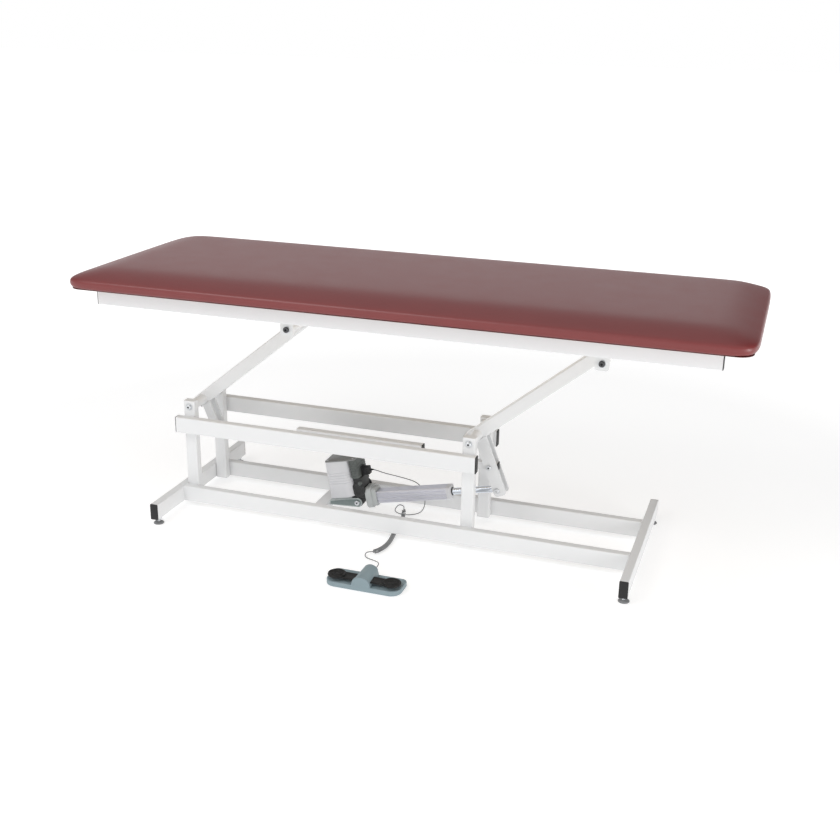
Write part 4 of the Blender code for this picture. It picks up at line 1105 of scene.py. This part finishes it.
lever_heads("rod_bolt", rod_pin, lever_outer_y, "right_arm")


# Deck: a plywood board with rounded corners, screwed to the top frame from below. The cushion's
# cover is drawn round its edge and stapled underneath
deck_low, deck_high = box_of("deck_board")
deck_corner = 0.062
deck_edge = 0.001
deck_screw_pitch = 0.29
deck_screw_gap = 0.0001
deck_screw_head = (0.0045, 0.0024, 0.0018)

# Birch plywood: long grain on its faces and thin dark glue lines on its edges
bare_plywood = Finish("bare_plywood", "plywood", specular_ior_level=0.3)
grain = bare_plywood.noise(26, 5.0, (16.0, 1.0, 1.0))
plies = bare_plywood.node(
    "ShaderNodeTexWave",
    {"bands_direction": "Z"},
    {"Vector": bare_plywood.places(), "Scale": 110.0, "Distortion": 0.4},
)
ply_face = bare_plywood.blend(grain, (0.5, 0.38, 0.25), (0.64, 0.53, 0.38))
bare_plywood.shade("Base Color", bare_plywood.blend(plies * 0.3, ply_face, (0.3, 0.19, 0.1)))
bare_plywood.shade("Roughness", grain * 0.2 + 0.6)
bare_plywood.bump(grain, 0.0002)

deck_shape = box_shape(deck_low, deck_high)
rounded(deck_shape, edges_along(deck_shape, 2), deck_corner, 12)
rounded(deck_shape, rim_edges(deck_shape, 2, -1, 1), deck_edge, 2)
finished("plywood_deck", deck_shape, bare_plywood, "top", 40, replaces="deck_board")
for _, side in sides:
    low, high = box_of(f"side_rail_{side}")
    screw_count = round((high.x - low.x) / deck_screw_pitch)
    for i in range(screw_count):
        screw_x = low.x + (high.x - low.x) * (i + 0.5) / screw_count
        screw_seat = Vector((screw_x, (low.y + high.y) / 2, low.z + deck_screw_gap))
        name = f"deck_screw_{side}_{i + 1}"
        bolt_head(name, screw_seat, (0, 0, -1), deck_screw_head, zinc_plate, "top")


# Cushion: a slab of firm foam under dark red upholstery vinyl. Its top is flat in the middle, slopes
# down over wide shoulders, less so on the far side, and turns under round a soft edge. Its sides
# draw in between the corners
cushion_low, cushion_high = box_of("cushion")
cushion_puff = 0.0035
cushion_high.z += cushion_puff
cushion_half = (cushion_high - cushion_low) / 2
cushion_middle = (cushion_high + cushion_low) / 2
cushion_thickness = cushion_high.z - cushion_low.z
cushion_cuts = 5
cushion_corner = 0.048
cushion_crown = 0.005
cushion_draw = 0.003
cushion_hollow = 0.008
cushion_smoothing = 4
along_shares = (0.0, 0.879, 0.949, 1.0)
across_shares = (0.0, 0.633, 0.846, 1.0)
rise_shares = (1.0, 1.0, 0.88, 0.0)
far_across_shares = (0.0, 0.72, 0.925, 1.0)
far_rise_shares = (1.0, 1.0, 0.95, 0.3)
far_inset_share = 0.75
level_shares = (0.0, 0.1, 0.236, 0.374, 0.512, 0.62, 0.797)
inset_shares = (0.34, 0.12, 0.0, 0.0, 0.059, 0.394, 1.496)

# Dark red vinyl with a fine leather grain, a soft sheen, faint mottling and slack folds
upholstery_vinyl = mottled(
    "upholstery_vinyl", "maroon_vinyl", (0.17, 0.027, 0.027), (0.196, 0.034, 0.034), (14, 4.0),
    (0.08, 0.3), specular_ior_level=0.5,
)
cells = upholstery_vinyl.node(
    "ShaderNodeTexVoronoi",
    {"feature": "DISTANCE_TO_EDGE"},
    {"Vector": upholstery_vinyl.places(), "Scale": 620.0},
)
leather = upholstery_vinyl.math("MINIMUM", cells * 3.0, 0.5) * 0.00006
pores = upholstery_vinyl.noise(900, 3.0) * 0.00003
upholstery_vinyl.bump(leather + pores + upholstery_vinyl.noise(2.4, 3.0) * 0.0008, 1.0)


def share_at(unit, shares):
    """The share for a place between -1 and 1 on evenly cut edges, the same on both sides."""
    return shares[round(abs(unit) * (len(shares) - 1))]


def cushion_cage():
    """A box whose rows of points follow the corners, the shoulders, the crown and the sides."""
    shape = bmesh.new()
    bmesh.ops.create_cube(shape, size=2)
    bmesh.ops.subdivide_edges(shape, edges=shape.edges, cuts=cushion_cuts, use_grid_fill=True)
    for vertex in shape.verts:
        x, y, z = vertex.co
        level = round((z + 1) / 2 * (len(level_shares) - 1))
        inset = inset_shares[level] * cushion_thickness / 2
        half_length = cushion_half.x - inset
        half_width = cushion_half.y - inset * (far_inset_share if y > 0 else 1)
        along = math.copysign(share_at(x, along_shares), x)
        across = math.copysign(share_at(y, far_across_shares if y > 0 else across_shares), y)
        place = Vector((along * half_length, across * half_width, 0))
        corner = Vector((half_length - cushion_corner, half_width - cushion_corner, 0))
        beyond = Vector((max(abs(place.x) - corner.x, 0), max(abs(place.y) - corner.y, 0), 0))
        if beyond.x > 0 and beyond.y > 0:
            beyond *= max(beyond.x, beyond.y) / beyond.length
            place.x = math.copysign(corner.x + beyond.x, place.x)
            place.y = math.copysign(corner.y + beyond.y, place.y)
        place.y -= math.copysign(cushion_draw, y) * (1 - along**2) * across**2
        height = level_shares[level]
        rise = share_at(x, rise_shares) * share_at(y, far_rise_shares if y > 0 else rise_shares)
        shoulder = (1 - level_shares[-1]) * rise * height / level_shares[-1]
        crown = cushion_crown * (1 - along**2) * (1 - across**2) * height
        hollow = cushion_hollow if level == 0 and max(abs(x), abs(y)) < 0.9 else 0
        vertex.co = (place.x, place.y, cushion_thickness * (height + shoulder) + crown + hollow)
    return shape


def smoothed(name, shape, levels):
    """The shape that a number of rounds of subdivision make of a cage."""
    drawn = linked(name, mesh_of(name, shape))
    soften = drawn.modifiers.new("soften", "SUBSURF")
    soften.levels = soften.render_levels = levels
    graph = bpy.context.evaluated_depsgraph_get()
    made = bmesh.new()
    made.from_mesh(bpy.data.meshes.new_from_object(drawn.evaluated_get(graph)))
    bpy.data.objects.remove(drawn, do_unlink=True)
    return made


def fitted(shape, low, high):
    """Stretches a shape so that it just fills the box between two corners."""
    places = np.array([vertex.co for vertex in shape.verts])
    own_low, own_high = Vector(places.min(axis=0)), Vector(places.max(axis=0))
    size, own_size = high - low, own_high - own_low
    bmesh.ops.translate(shape, vec=-own_low, verts=shape.verts)
    stretch = Vector(size[k] / own_size[k] for k in range(3))
    bmesh.ops.scale(shape, vec=stretch, verts=shape.verts)
    bmesh.ops.translate(shape, vec=low, verts=shape.verts)
    return shape


cushion_slab = smoothed("cushion_cage", cushion_cage(), cushion_smoothing)
cushion_slab = fitted(cushion_slab, cushion_low, cushion_high)
cushion = finished("cushion_cover", cushion_slab, upholstery_vinyl, "top", 180, replaces="cushion")


# Hem: the cover's edge, folded under the board and stapled to it all round, with small pleats
# where the vinyl is gathered at the corners
hem_outer_inset = 0.01
hem_inner_inset = 0.044
hem_thickness = 0.0008
hem_corner = 0.04
staple_pitch = 0.04
staple_length = 0.01
staple_wire = 0.001
staple_leg = 0.0006
staple_inset = 0.034
pleat_start = hem_corner * 0.35
pleat_length = 0.0234
pleat_width = 0.006
pleat_angles = (22, 45, 68)
hem_top = deck_low.z - 0.0001
hem_bottom = hem_top - hem_thickness


def flat_ring(low, high, corner, width):
    """A thin frame with rounded outer corners."""
    shape = box_shape(low, high)
    rounded(shape, edges_along(shape, 2), corner, 8)
    caps = [face for face in shape.faces if abs(face.normal.z) > 0.99]
    for cap in caps:
        inset(shape, [cap], width)
    rims = list({edge for cap in caps for edge in cap.edges})
    bmesh.ops.delete(shape, geom=caps, context="FACES_ONLY")
    bmesh.ops.bridge_loops(shape, edges=rims)
    return shape


def staple():
    """A flattened wire with its two legs bent up into the board."""
    half = staple_wire / 2
    crown = box_shape((-staple_length / 2, -half, -staple_leg), (staple_length / 2, half, 0))
    legs = []
    for side in (-1, 1):
        middle = side * (staple_length - staple_wire) / 2
        low = (middle - half, -half, -staple_leg)
        legs.append(box_shape(low, (middle + half, half, hem_thickness * 2)))
    crown.normal_update()
    rounded(crown, rim_edges(crown, 2, -1), staple_wire / 4, 1)
    return merged(crown, *legs)


hem_half = Vector((cushion_half.x - hem_outer_inset, cushion_half.y - hem_outer_inset, 0))
hem_centre = Vector((cushion_middle.x, cushion_middle.y, 0))
hem = flat_ring(
    hem_centre - hem_half + Vector((0, 0, hem_bottom)),
    hem_centre + hem_half + Vector((0, 0, hem_top)),
    hem_corner,
    hem_inner_inset - hem_outer_inset,
)
finished("cushion_hem", hem, upholstery_vinyl, "top")
pleats = []
for side_x in (-1, 1):
    for side_y in (-1, 1):
        reach_x, reach_y = hem_half.x - hem_corner, hem_half.y - hem_corner
        corner = hem_centre + Vector((side_x * reach_x, side_y * reach_y, hem_bottom))
        for angle in pleat_angles:
            low = (pleat_start, -pleat_width / 2, -hem_thickness)
            fold = box_shape(low, (pleat_start + pleat_length, pleat_width / 2, 0))
            rounded(fold, edges_along(fold, 0), hem_thickness * 0.45, 2)
            turn = math.radians(angle if side_x * side_y > 0 else -angle)
            turn += math.pi if side_x < 0 else 0
            pleats.append(moved(fold, Matrix.Translation(corner) @ Matrix.Rotation(turn, 4, "Z")))
finished("cushion_pleats", merged(*pleats), upholstery_vinyl, "top", weld=False)

# Staples at an even pitch along the four straight sides of the hem
staples = []
staple_half = Vector((cushion_half.x - staple_inset, cushion_half.y - staple_inset, 0))
for axis in (0, 1):
    reach = staple_half[axis] - hem_corner
    count = round(2 * reach / staple_pitch)
    turn = Matrix.Rotation(math.radians(90 * axis), 4, "Z")
    for side in (-1, 1):
        for i in range(count + 1):
            place = Vector((0, 0, 0))
            place[axis] = -reach + 2 * reach * i / count
            place[1 - axis] = side * staple_half[1 - axis]
            stand = Matrix.Translation(hem_centre + place + Vector((0, 0, hem_bottom)))
            staples.append(moved(staple(), stand @ turn))
finished("hem_staples", merged(*staples), zinc_plate, "top", weld=False)


# Actuator housings: a sealed linear drive hung between a bracket and the levers. Its motor stands
# upright in a light grey moulded cover with fine ribs, under a dark lid that is screwed down
motor_low = Vector((-0.0765, -0.045, 0.027))
motor_high = Vector((0.0035, 0.045, 0.15))
motor_lean = 0.006
motor_rounds = (0.026, 0.007)
motor_rib_low = 0.074
rib_pitch = 0.0085
rib_count = 5
motor_rib_depth = 0.0015
lid_height = 0.0045
lid_overhang = 0.001
lid_rounds = (0.009, 0.009)
lid_screw_head = (0.003, 0.0016, 0.0013)
lid_screw_inset = 0.009
screw_sink = 0.0002
cover_low = Vector((0.0038, -0.038, 0.084))
cover_high = Vector((0.0298, 0.038, 0.15))
cover_rounds = (0.008, 0.008)
cover_rib_low = 0.093
cover_rib_depth = 0.001
corner_points = 7


def textured_casting(name, dark, light):
    """A painted casting with a coarse texture."""
    bump = (520, 4.0, 0.0004)
    return mottled(
        name, "dark_casting", dark, light, (260, 4.0), (0.2, 0.4), bump, specular_ior_level=0.4
    )


def rounded_outline(low, high, rounds, inset, height):
    """Points round a housing at one height, with its near right corner rounded more or less than
    the others."""
    near_right, others = rounds
    corners = (
        (high.x - inset, low.y + inset, near_right, 270),
        (high.x - inset, high.y - inset, others, 0),
        (low.x + inset, high.y - inset, others, 90),
        (low.x + inset, low.y + inset, others, 180),
    )
    points = []
    for x, y, radius, start in corners:
        radius = max(radius - inset, radius / 4)
        along = x - radius if x > (low.x + high.x) / 2 else x + radius
        across = y - radius if y > (low.y + high.y) / 2 else y + radius
        for i in range(corner_points):
            angle = math.radians(start + 90 * i / (corner_points - 1))
            place = (along + radius * math.cos(angle), across + radius * math.sin(angle), height)
            points.append(Vector(place))
    return points


def ribbed_levels(low, high, first, depth):
    """Heights and insets from the bottom of a wall to its top, with rounded rims and fine grooves."""
    levels = [(low, 0.0012), (low + 0.0004, 0.0004), (low + 0.0012, 0.0)]
    for i in range(rib_count):
        middle = first + rib_pitch * i
        levels += [(middle - 0.0016, 0.0), (middle - 0.0007, depth), (middle + 0.0007, depth)]
        levels += [(middle + 0.0016, 0.0)]
    return levels + [(high - 0.0006, 0.0), (high, 0.0006)]


def on_actuator(name, shape, finish, sharp=40, **rest):
    """A piece of the actuator, from a shape in the actuator's own frame."""
    finished(name, moved(shape, actuator_frame), finish, "actuator", sharp, **rest)


def housing(name, low, high, rounds, levels, finish, lean=0.0, replaces=None):
    """A housing through levels of height and inset, whose left side leans in on the way up."""
    sections = []
    for height, inset in levels:
        shift = lean * ((height - low.z) / (high.z - low.z)) if lean else 0
        foot = Vector((low.x + shift, low.y, low.z))
        sections.append(rounded_outline(foot, high, rounds, inset, height))
    on_actuator(name, lofted(sections), finish, replaces=replaces)


case_grey = textured_casting("case_grey", (0.045, 0.052, 0.048), (0.15, 0.165, 0.158))
gear_black = textured_casting("gear_black", (0.012, 0.013, 0.013), (0.05, 0.052, 0.052))
lid_grey = textured_casting("lid_grey", (0.19, 0.195, 0.195), (0.27, 0.275, 0.275))
# Light grey moulded plastic with a fine texture
housing_grey = mottled(
    "housing_grey", "grey_plastic", (0.61, 0.61, 0.63), (0.66, 0.66, 0.68), (30, 3.0),
    (0.12, 0.38), (1500, 2.0, 0.00006), specular_ior_level=0.45,
)
wall_top = motor_high.z - lid_height
motor_levels = ribbed_levels(motor_low.z, wall_top, motor_rib_low, motor_rib_depth)
housing(
    "motor_cover", motor_low, motor_high, motor_rounds, motor_levels, housing_grey, motor_lean,
    "motor_housing",
)
cover_levels = ribbed_levels(cover_low.z, wall_top, cover_rib_low, cover_rib_depth)
housing(
    "motor_end_case", cover_low, cover_high, cover_rounds, cover_levels, case_grey,
    replaces="motor_end_cover",
)
lid_low = Vector((motor_low.x + motor_lean - lid_overhang, motor_low.y - lid_overhang, 0))
lid_high = Vector((cover_high.x + lid_overhang, motor_high.y + lid_overhang, 0))
lid_levels = (
    (wall_top + 0.0002, 0.0008),
    (wall_top + 0.0006, 0.0),
    (motor_high.z - 0.0008, 0.0),
    (motor_high.z, 0.0012),
)
housing("motor_lid", lid_low, lid_high, lid_rounds, lid_levels, lid_grey)
for end, x in (("left", lid_low.x + lid_screw_inset), ("right", lid_high.x - lid_screw_inset)):
    for side, y in (("near", lid_low.y + lid_screw_inset), ("far", lid_high.y - lid_screw_inset)):
        seat = actuator_frame @ Vector((x, y, motor_high.z - screw_sink))
        up = actuator_frame.to_3x3() @ Vector((0, 0, 1))
        bolt_head(f"lid_screw_{side}_{end}", seat, up, lid_screw_head, zinc_plate, "actuator")


# Gear case: a dark cast case under the motor's end. A round cover with three screws closes each
# face over the gears, with a shaft's hub above it, and the case ends in the rear pin's lug
gear_low = Vector((0.0038, -0.028, 0.0165))
gear_high = Vector((0.0332, 0.028, 0.0837))
gear_edge = 0.003
lug_radius = 0.0165
lug_half = 0.019
lug_edge = 0.0012
boss_centre = Vector((0.016, 0.0, 0.044))
boss_radius = 0.022
boss_height = 0.0045
boss_profile = ((0, 0.55), (0.52, 0.55), (0.6, 1), (0.9, 1), (1, 0.7), (1, 0), (0, 0))
boss_screws = 3
boss_screw_head = (0.0024, 0.0014, 0.0011)
hub_place = (0.0262, 0.066)
hub_profile = ((0, 0.007), (0.005, 0.007), (0.0062, 0.0058), (0.0062, 0), (0, 0))


def rounded_block(low, high, edge, segments):
    shape = box_shape(low, high)
    return rounded(shape, shape.edges, edge, segments)


def plate_shape(outline, low_y, high_y):
    """A plate cut from an outline in the XZ plane."""
    shape = bmesh.new()
    face = shape.faces.new([shape.verts.new((x, low_y, z)) for x, z in outline])
    grown = bmesh.ops.extrude_face_region(shape, geom=[face])
    far = [item for item in grown["geom"] if isinstance(item, bmesh.types.BMVert)]
    bmesh.ops.translate(shape, verts=far, vec=(0, high_y - low_y, 0))
    bmesh.ops.recalc_face_normals(shape, faces=shape.faces)
    return shape


def arc_places(centre, radius, start, end, steps):
    """Points on an arc in a plane, with angles in degrees."""
    angles = (math.radians(start + (end - start) * i / steps) for i in range(steps + 1))
    return [(centre[0] + radius * math.cos(a), centre[1] + radius * math.sin(a)) for a in angles]


lug_top = motor_low.z - 0.0004
lug_places = [(gear_high.x, 0.0105), (gear_high.x, lug_top), (-lug_radius, lug_top)]
lug_places += arc_places((0, 0), lug_radius, 180, 300, 16)
lug = plate_shape(lug_places, -lug_half, lug_half)
rounded(lug, rim_edges(lug, 1, -1, 1), lug_edge, 2)
gear_parts = merged(rounded_block(gear_low, gear_high, gear_edge, 3), lug)
on_actuator("gear_case", gear_parts, gear_black, weld=False, replaces="gear_housing")
for sign, side in sides:
    outward = Vector((0, sign, 0))
    seat = boss_centre + outward * (gear_high.y - screw_sink)
    profile = [(boss_radius * across, boss_height * up) for across, up in boss_profile]
    stand = actuator_frame @ towards(seat, outward)
    turned(f"gear_boss_{side}", profile, stand, gear_black, "actuator", sharp=30)
    stand = actuator_frame @ towards((hub_place[0], seat.y, hub_place[1]), outward)
    turned(f"gear_hub_{side}", hub_profile, stand, case_grey, "actuator", 32, sharp=30)
    for i in range(boss_screws):
        angle = math.tau * (i + 0.25) / boss_screws
        spoke = Vector((math.cos(angle), 0, math.sin(angle))) * boss_radius * 0.75
        place = actuator_frame @ (seat + spoke + outward * (boss_height - screw_sink))
        screw = (boss_screw_head, black_oxide, "actuator", "dark_casting")
        bolt_head(f"boss_screw_{side}_{i + 1}", place, outward, *screw)


# Socket and plug: the pedal's lead plugs into the motor's end case with a black moulded plug, held
# by a square collar
plug_low = Vector((0.0301, -0.01, 0.085))
plug_high = Vector((0.0561, 0.01, 0.111))
plug_collar_length = 0.005
plug_collar_grow = 0.0025
plug_round = 0.003
plug_collar_edge = 0.0012
plug_grips = 4
plug_grip_edge = 0.0004
plug_grip_start = 0.01
plug_grip_pitch = 0.0035
plug_grip_width = 0.0016
grip_grow = Vector((0, 0.0006, -0.004))
collar_place = plug_low - Vector((0.0001, plug_collar_grow, plug_collar_grow * 0.3))
collar_top = plug_high + Vector((0, plug_collar_grow, plug_collar_grow))
collar_top.x = plug_low.x + plug_collar_length
plug_parts = [
    rounded_block(plug_low, plug_high, plug_round, 3),
    rounded_block(collar_place, collar_top, plug_collar_edge, 2),
]
for i in range(plug_grips):
    grip_low, grip_high = plug_low - grip_grow, plug_high + grip_grow
    grip_low.x = plug_low.x + plug_grip_start + i * plug_grip_pitch
    grip_high.x = grip_low.x + plug_grip_width
    plug_parts.append(rounded_block(grip_low, grip_high, plug_grip_edge, 1))
on_actuator("lead_plug", merged(*plug_parts), soft_black, weld=False, replaces="cord_connector")


# Collar: a stepped light grey moulding that clamps the guide tube to the gear case
collar_low = Vector((0.0335, -0.03, -0.0208))
collar_high = Vector((0.0675, 0.03, 0.0472))
collar_round = 0.016
collar_step = 0.02
collar_inset = Vector((0, 0.0045, 0.0045))
collar_rim = 0.003


def end_rounded(low, high, corner, rim):
    """A block along X with round corners and softened ends."""
    shape = box_shape(low, high)
    rounded(shape, edges_along(shape, 0), corner, 8)
    return rounded(shape, rim_edges(shape, 0, -1, 1), rim, 4)


# Grey moulded plastic with a greenish cast
collar_grey = mottled(
    "collar_grey", "grey_plastic", (0.415, 0.435, 0.433), (0.485, 0.505, 0.503), (45, 3.0),
    (0.12, 0.34), (1200, 2.0, 0.00006), specular_ior_level=0.5,
)
flange_end = Vector((collar_low.x + collar_step, collar_high.y, collar_high.z))
neck_start = Vector((collar_low.x + collar_step * 0.5, collar_low.y, collar_low.z)) + collar_inset
collar_parts = (
    end_rounded(collar_low, flange_end, collar_round, collar_rim),
    end_rounded(neck_start, collar_high - collar_inset, collar_round * 0.8, collar_rim),
)
collar = merged(*collar_parts)
on_actuator("collar_moulding", collar, collar_grey, weld=False, replaces="actuator_collar")


# Guide tube: a square aluminium extrusion with three grooves in each face. A moulded cap with a
# wiper seal closes its end round the rod
tube_start = 0.0678
tube_end = 0.3038
tube_axis_up = 0.01117
tube_half = 0.019
tube_corner = 0.0016
tube_grooves = (-0.0098, 0.0002, 0.0102)
tube_groove_half = 0.0018
tube_groove_slope = 0.0003
tube_groove_depth = 0.0026
cap_start = tube_end - 0.008
cap_end = tube_end + 0.006
cap_inner = tube_end + 0.0002
cap_half = tube_half + 0.0008
cap_corner = 0.0062
cap_rim = 0.0012
wiper_lip = 0.0002
rod_radius = 0.0105
tube_bore_radius = rod_radius + 0.001
cap_bore_radius = rod_radius + 0.0004
wiper_bore = rod_radius + 0.0001
wiper_radius = 0.0128
wiper_depth = 0.003


def tube_outline(along):
    """The extrusion's outline across its axis, with the grooves of its four faces."""
    face = [(tube_corner - tube_half, tube_half)]
    for middle in tube_grooves:
        low, high = middle - tube_groove_half, middle + tube_groove_half
        floor = tube_half - tube_groove_depth
        face += [(low, tube_half), (low + tube_groove_slope, floor)]
        face += [(high - tube_groove_slope, floor), (high, tube_half)]
    face.append((tube_half - tube_corner, tube_half))
    points = []
    for cosine, sine in ((1, 0), (0, 1), (-1, 0), (0, -1)):
        for a, b in face:
            across, up = a * cosine + b * sine, b * cosine - a * sine
            points.append(Vector((along, across, up + tube_axis_up)))
    return points


def tube_bore(along):
    """The bore's circle, with as many points as the outline and starting at the same corner."""
    count = 4 * (4 * len(tube_grooves) + 2)
    angles = [math.radians(135) - math.tau * i / count for i in range(count)]
    spokes = [Vector((0, math.cos(angle), math.sin(angle))) for angle in angles]
    return [Vector((along, 0, tube_axis_up)) + spoke * tube_bore_radius for spoke in spokes]


def cap_outline(along, half, corner=cap_corner):
    """A rounded square across the tube's axis."""
    low = Vector((-half, -half, 0))
    outline = rounded_outline(low, -low, (corner, corner), 0, 0)
    return [Vector((along, point.x, point.y + tube_axis_up)) for point in outline]


def cap_bore(along):
    """The cap's hole, with as many points as the rounded square."""
    centre = Vector((along, 0, tube_axis_up))
    square = cap_outline(along, cap_half)
    return [centre + (point - centre).normalized() * cap_bore_radius for point in square]


# Anodised aluminium extrusion with lengthwise die lines
drawn_aluminium = Finish("drawn_aluminium", "aluminium", metallic=1.0)
lines = drawn_aluminium.noise(900, 3.0, (50.0, 1.0, 1.0), (0.0, -actuator_tilt, 0.0))
drawn_aluminium.shade("Base Color", drawn_aluminium.blend(lines, (0.66, 0.66, 0.72), (0.78, 0.78, 0.83)))
drawn_aluminium.shade("Roughness", lines * 0.16 + 0.3)
drawn_aluminium.bump(lines, 0.00003)
tube_rings = (
    tube_outline(tube_start), tube_outline(tube_end), tube_bore(tube_end), tube_bore(tube_start)
)
guide_tube = lofted(tube_rings, closed=True)
on_actuator("guide_tube", guide_tube, drawn_aluminium, 30, replaces="outer_tube")
cap_rings = (
    cap_outline(cap_start, tube_half),
    cap_outline(cap_start, cap_half),
    cap_outline(cap_end - cap_rim, cap_half),
    cap_outline(cap_end, cap_half - cap_rim, cap_corner - cap_rim),
    cap_bore(cap_end),
    cap_bore(cap_inner),
    cap_outline(cap_inner, tube_half),
)
on_actuator("tube_cap", lofted(cap_rings, closed=True), housing_grey)
wiper_profile = [(wiper_bore, wiper_depth), (wiper_radius * 0.86, wiper_depth)]
wiper_profile += [(wiper_radius, wiper_depth * 0.4), (wiper_radius, -wiper_lip), (wiper_bore, -wiper_lip)]
wiper_stand = actuator_frame @ towards((cap_end, 0, tube_axis_up), (1, 0, 0))
turned("rod_wiper", wiper_profile, wiper_stand, soft_black, "actuator", closed=True, sharp=30)


# Rod: ground and chromed steel. It slides out of the guide tube and ends in an eye that the bolt
# through the right levers holds
rod_length = 0.262
rod_tip = 0.003
rod_foot = 0.001
eye_radius = 0.0135
eye_half = 0.0115
eye_bore = 0.0053
eye_edge = 0.001
rod_start = (actuator_frame.inverted() @ rod_pin).x - rod_length
shaft_end = rod_length - eye_radius * 0.8

# Ground and chromed steel with a thin film of grease
hard_chrome = Finish("hard_chrome", "chrome", metallic=1.0, base_color=(0.7, 0.74, 0.8))
hard_chrome.shade("Roughness", hard_chrome.noise(50, 4.0) * 0.1 + 0.04)
rod_profile = [(0, shaft_end), (rod_radius * 0.8, shaft_end), (rod_radius, shaft_end - rod_tip)]
rod_profile += [(rod_radius, rod_foot), (rod_radius - rod_foot, 0), (0, 0)]
rod_stand = actuator_frame @ towards((rod_start, 0, tube_axis_up), (1, 0, 0))
turned("rod_shaft", rod_profile, rod_stand, hard_chrome, "rod", sharp=30, replaces="piston_rod")
eye_profile = [(eye_bore, eye_half), (eye_radius - eye_edge, eye_half), (eye_radius, eye_half - eye_edge)]
eye_profile += [(radius, -height) for radius, height in reversed(eye_profile)]
eye_rest = {"closed": True, "sharp": 30, "slot": "chrome"}
turned("rod_eye", eye_profile, towards(rod_pin, (0, 1, 0)), zinc_plate, "rod", **eye_rest)


# Rear bracket: two blue-grey painted cheeks joined by a plate that is welded to the crossbar. The
# rear pin goes through both of them and the lug
bracket_low, bracket_high = box_of("actuator_bracket")
bracket_bottom = 0.033
bracket_plate = 0.004
bracket_round = 0.0155
bracket_left_height = 0.015
bracket_shoulder = 0.0232
bracket_rim_width = 0.003
bracket_press = 0.0007
bracket_edge = 0.0006


def bracket_blue(name, dark, light):
    """Blue-grey paint in clouds between the dark and the light colour given. A light copy of it paints highlight
    on the rims, edges and web, and a dark copy paints shade into the pressed panels.
    """
    bump = (420, 2.0, 0.00008)
    return mottled(
        name, "bracket_paint", dark, light, (60, 3.0), (0.15, 0.28), bump, specular_ior_level=0.5
    )


def bracket_cheek(low_y, high_y, outer):
    """One cheek, with a shallow panel pressed into its outer face."""
    left = bracket_low.x
    outline = [(left, bracket_bottom + bracket_left_height), (left, bracket_bottom)]
    outline += arc_places((rear_pin.x, rear_pin.z), bracket_round, -95, 85, 24)
    outline += [(rear_pin.x - bracket_shoulder, rear_pin.z + bracket_shoulder / 2)]
    shape = plate_shape(outline, low_y, high_y)
    shape.normal_update()
    panel = faces_towards(shape, 1, outer)
    inset(shape, panel, bracket_rim_width)
    inset(shape, panel, bracket_press, -bracket_press)
    # The pressed panel takes the bracket's second paint, a darker copy of the same blue-grey: painted shade in the
    # recess
    for face in panel:
        face.material_index = 1
    shape.normal_update()
    rim = [
        edge
        for edge in shape.edges
        if len(edge.link_faces) == 2
        and any(face.normal.y * outer > 0.99 for face in edge.link_faces)
        and any(abs(face.normal.y) < 0.1 for face in edge.link_faces)
    ]
    return rounded(shape, rim_edges(shape, 1, -outer) + rim, bracket_edge, 2)


# The same blue-grey paint twice: a light copy, a painted highlight, for the rims, edges and web, and a dark copy,
# painted shade, for the pressed panels
bracket_lit_paint = bracket_blue("bracket_lit_paint", (0.4, 0.44, 0.435), (0.52, 0.56, 0.555))
bracket_shaded_paint = bracket_blue("bracket_shaded_paint", (0.175, 0.215, 0.215), (0.24, 0.29, 0.285))
web_near, web_far = bracket_low.y + bracket_plate, bracket_high.y - bracket_plate
web_right, web_top = bracket_low.x + bracket_plate, bracket_bottom + bracket_left_height
bracket = merged(
    bracket_cheek(bracket_low.y, web_near, -1),
    bracket_cheek(web_far, bracket_high.y, 1),
    box_shape((bracket_low.x, web_near, bracket_bottom), (web_right, web_far, web_top)),
)
bracket_rest = {"weld": False, "replaces": "actuator_bracket"}
bracket_piece = finished("rear_bracket", bracket, bracket_lit_paint, "base", 30, **bracket_rest)
# The second slot holds the painted shade of the pressed panels
bracket_piece.data.materials.append(bracket_shaded_paint.material)
rear_pin_half = (bracket_high.y - bracket_low.y) / 2
shaft("rear_pin", rear_pin, cross_pin_radius, rear_pin_half, zinc_plate, "base")
lever_heads("rear_pin", rear_pin, rear_pin_half, "base")
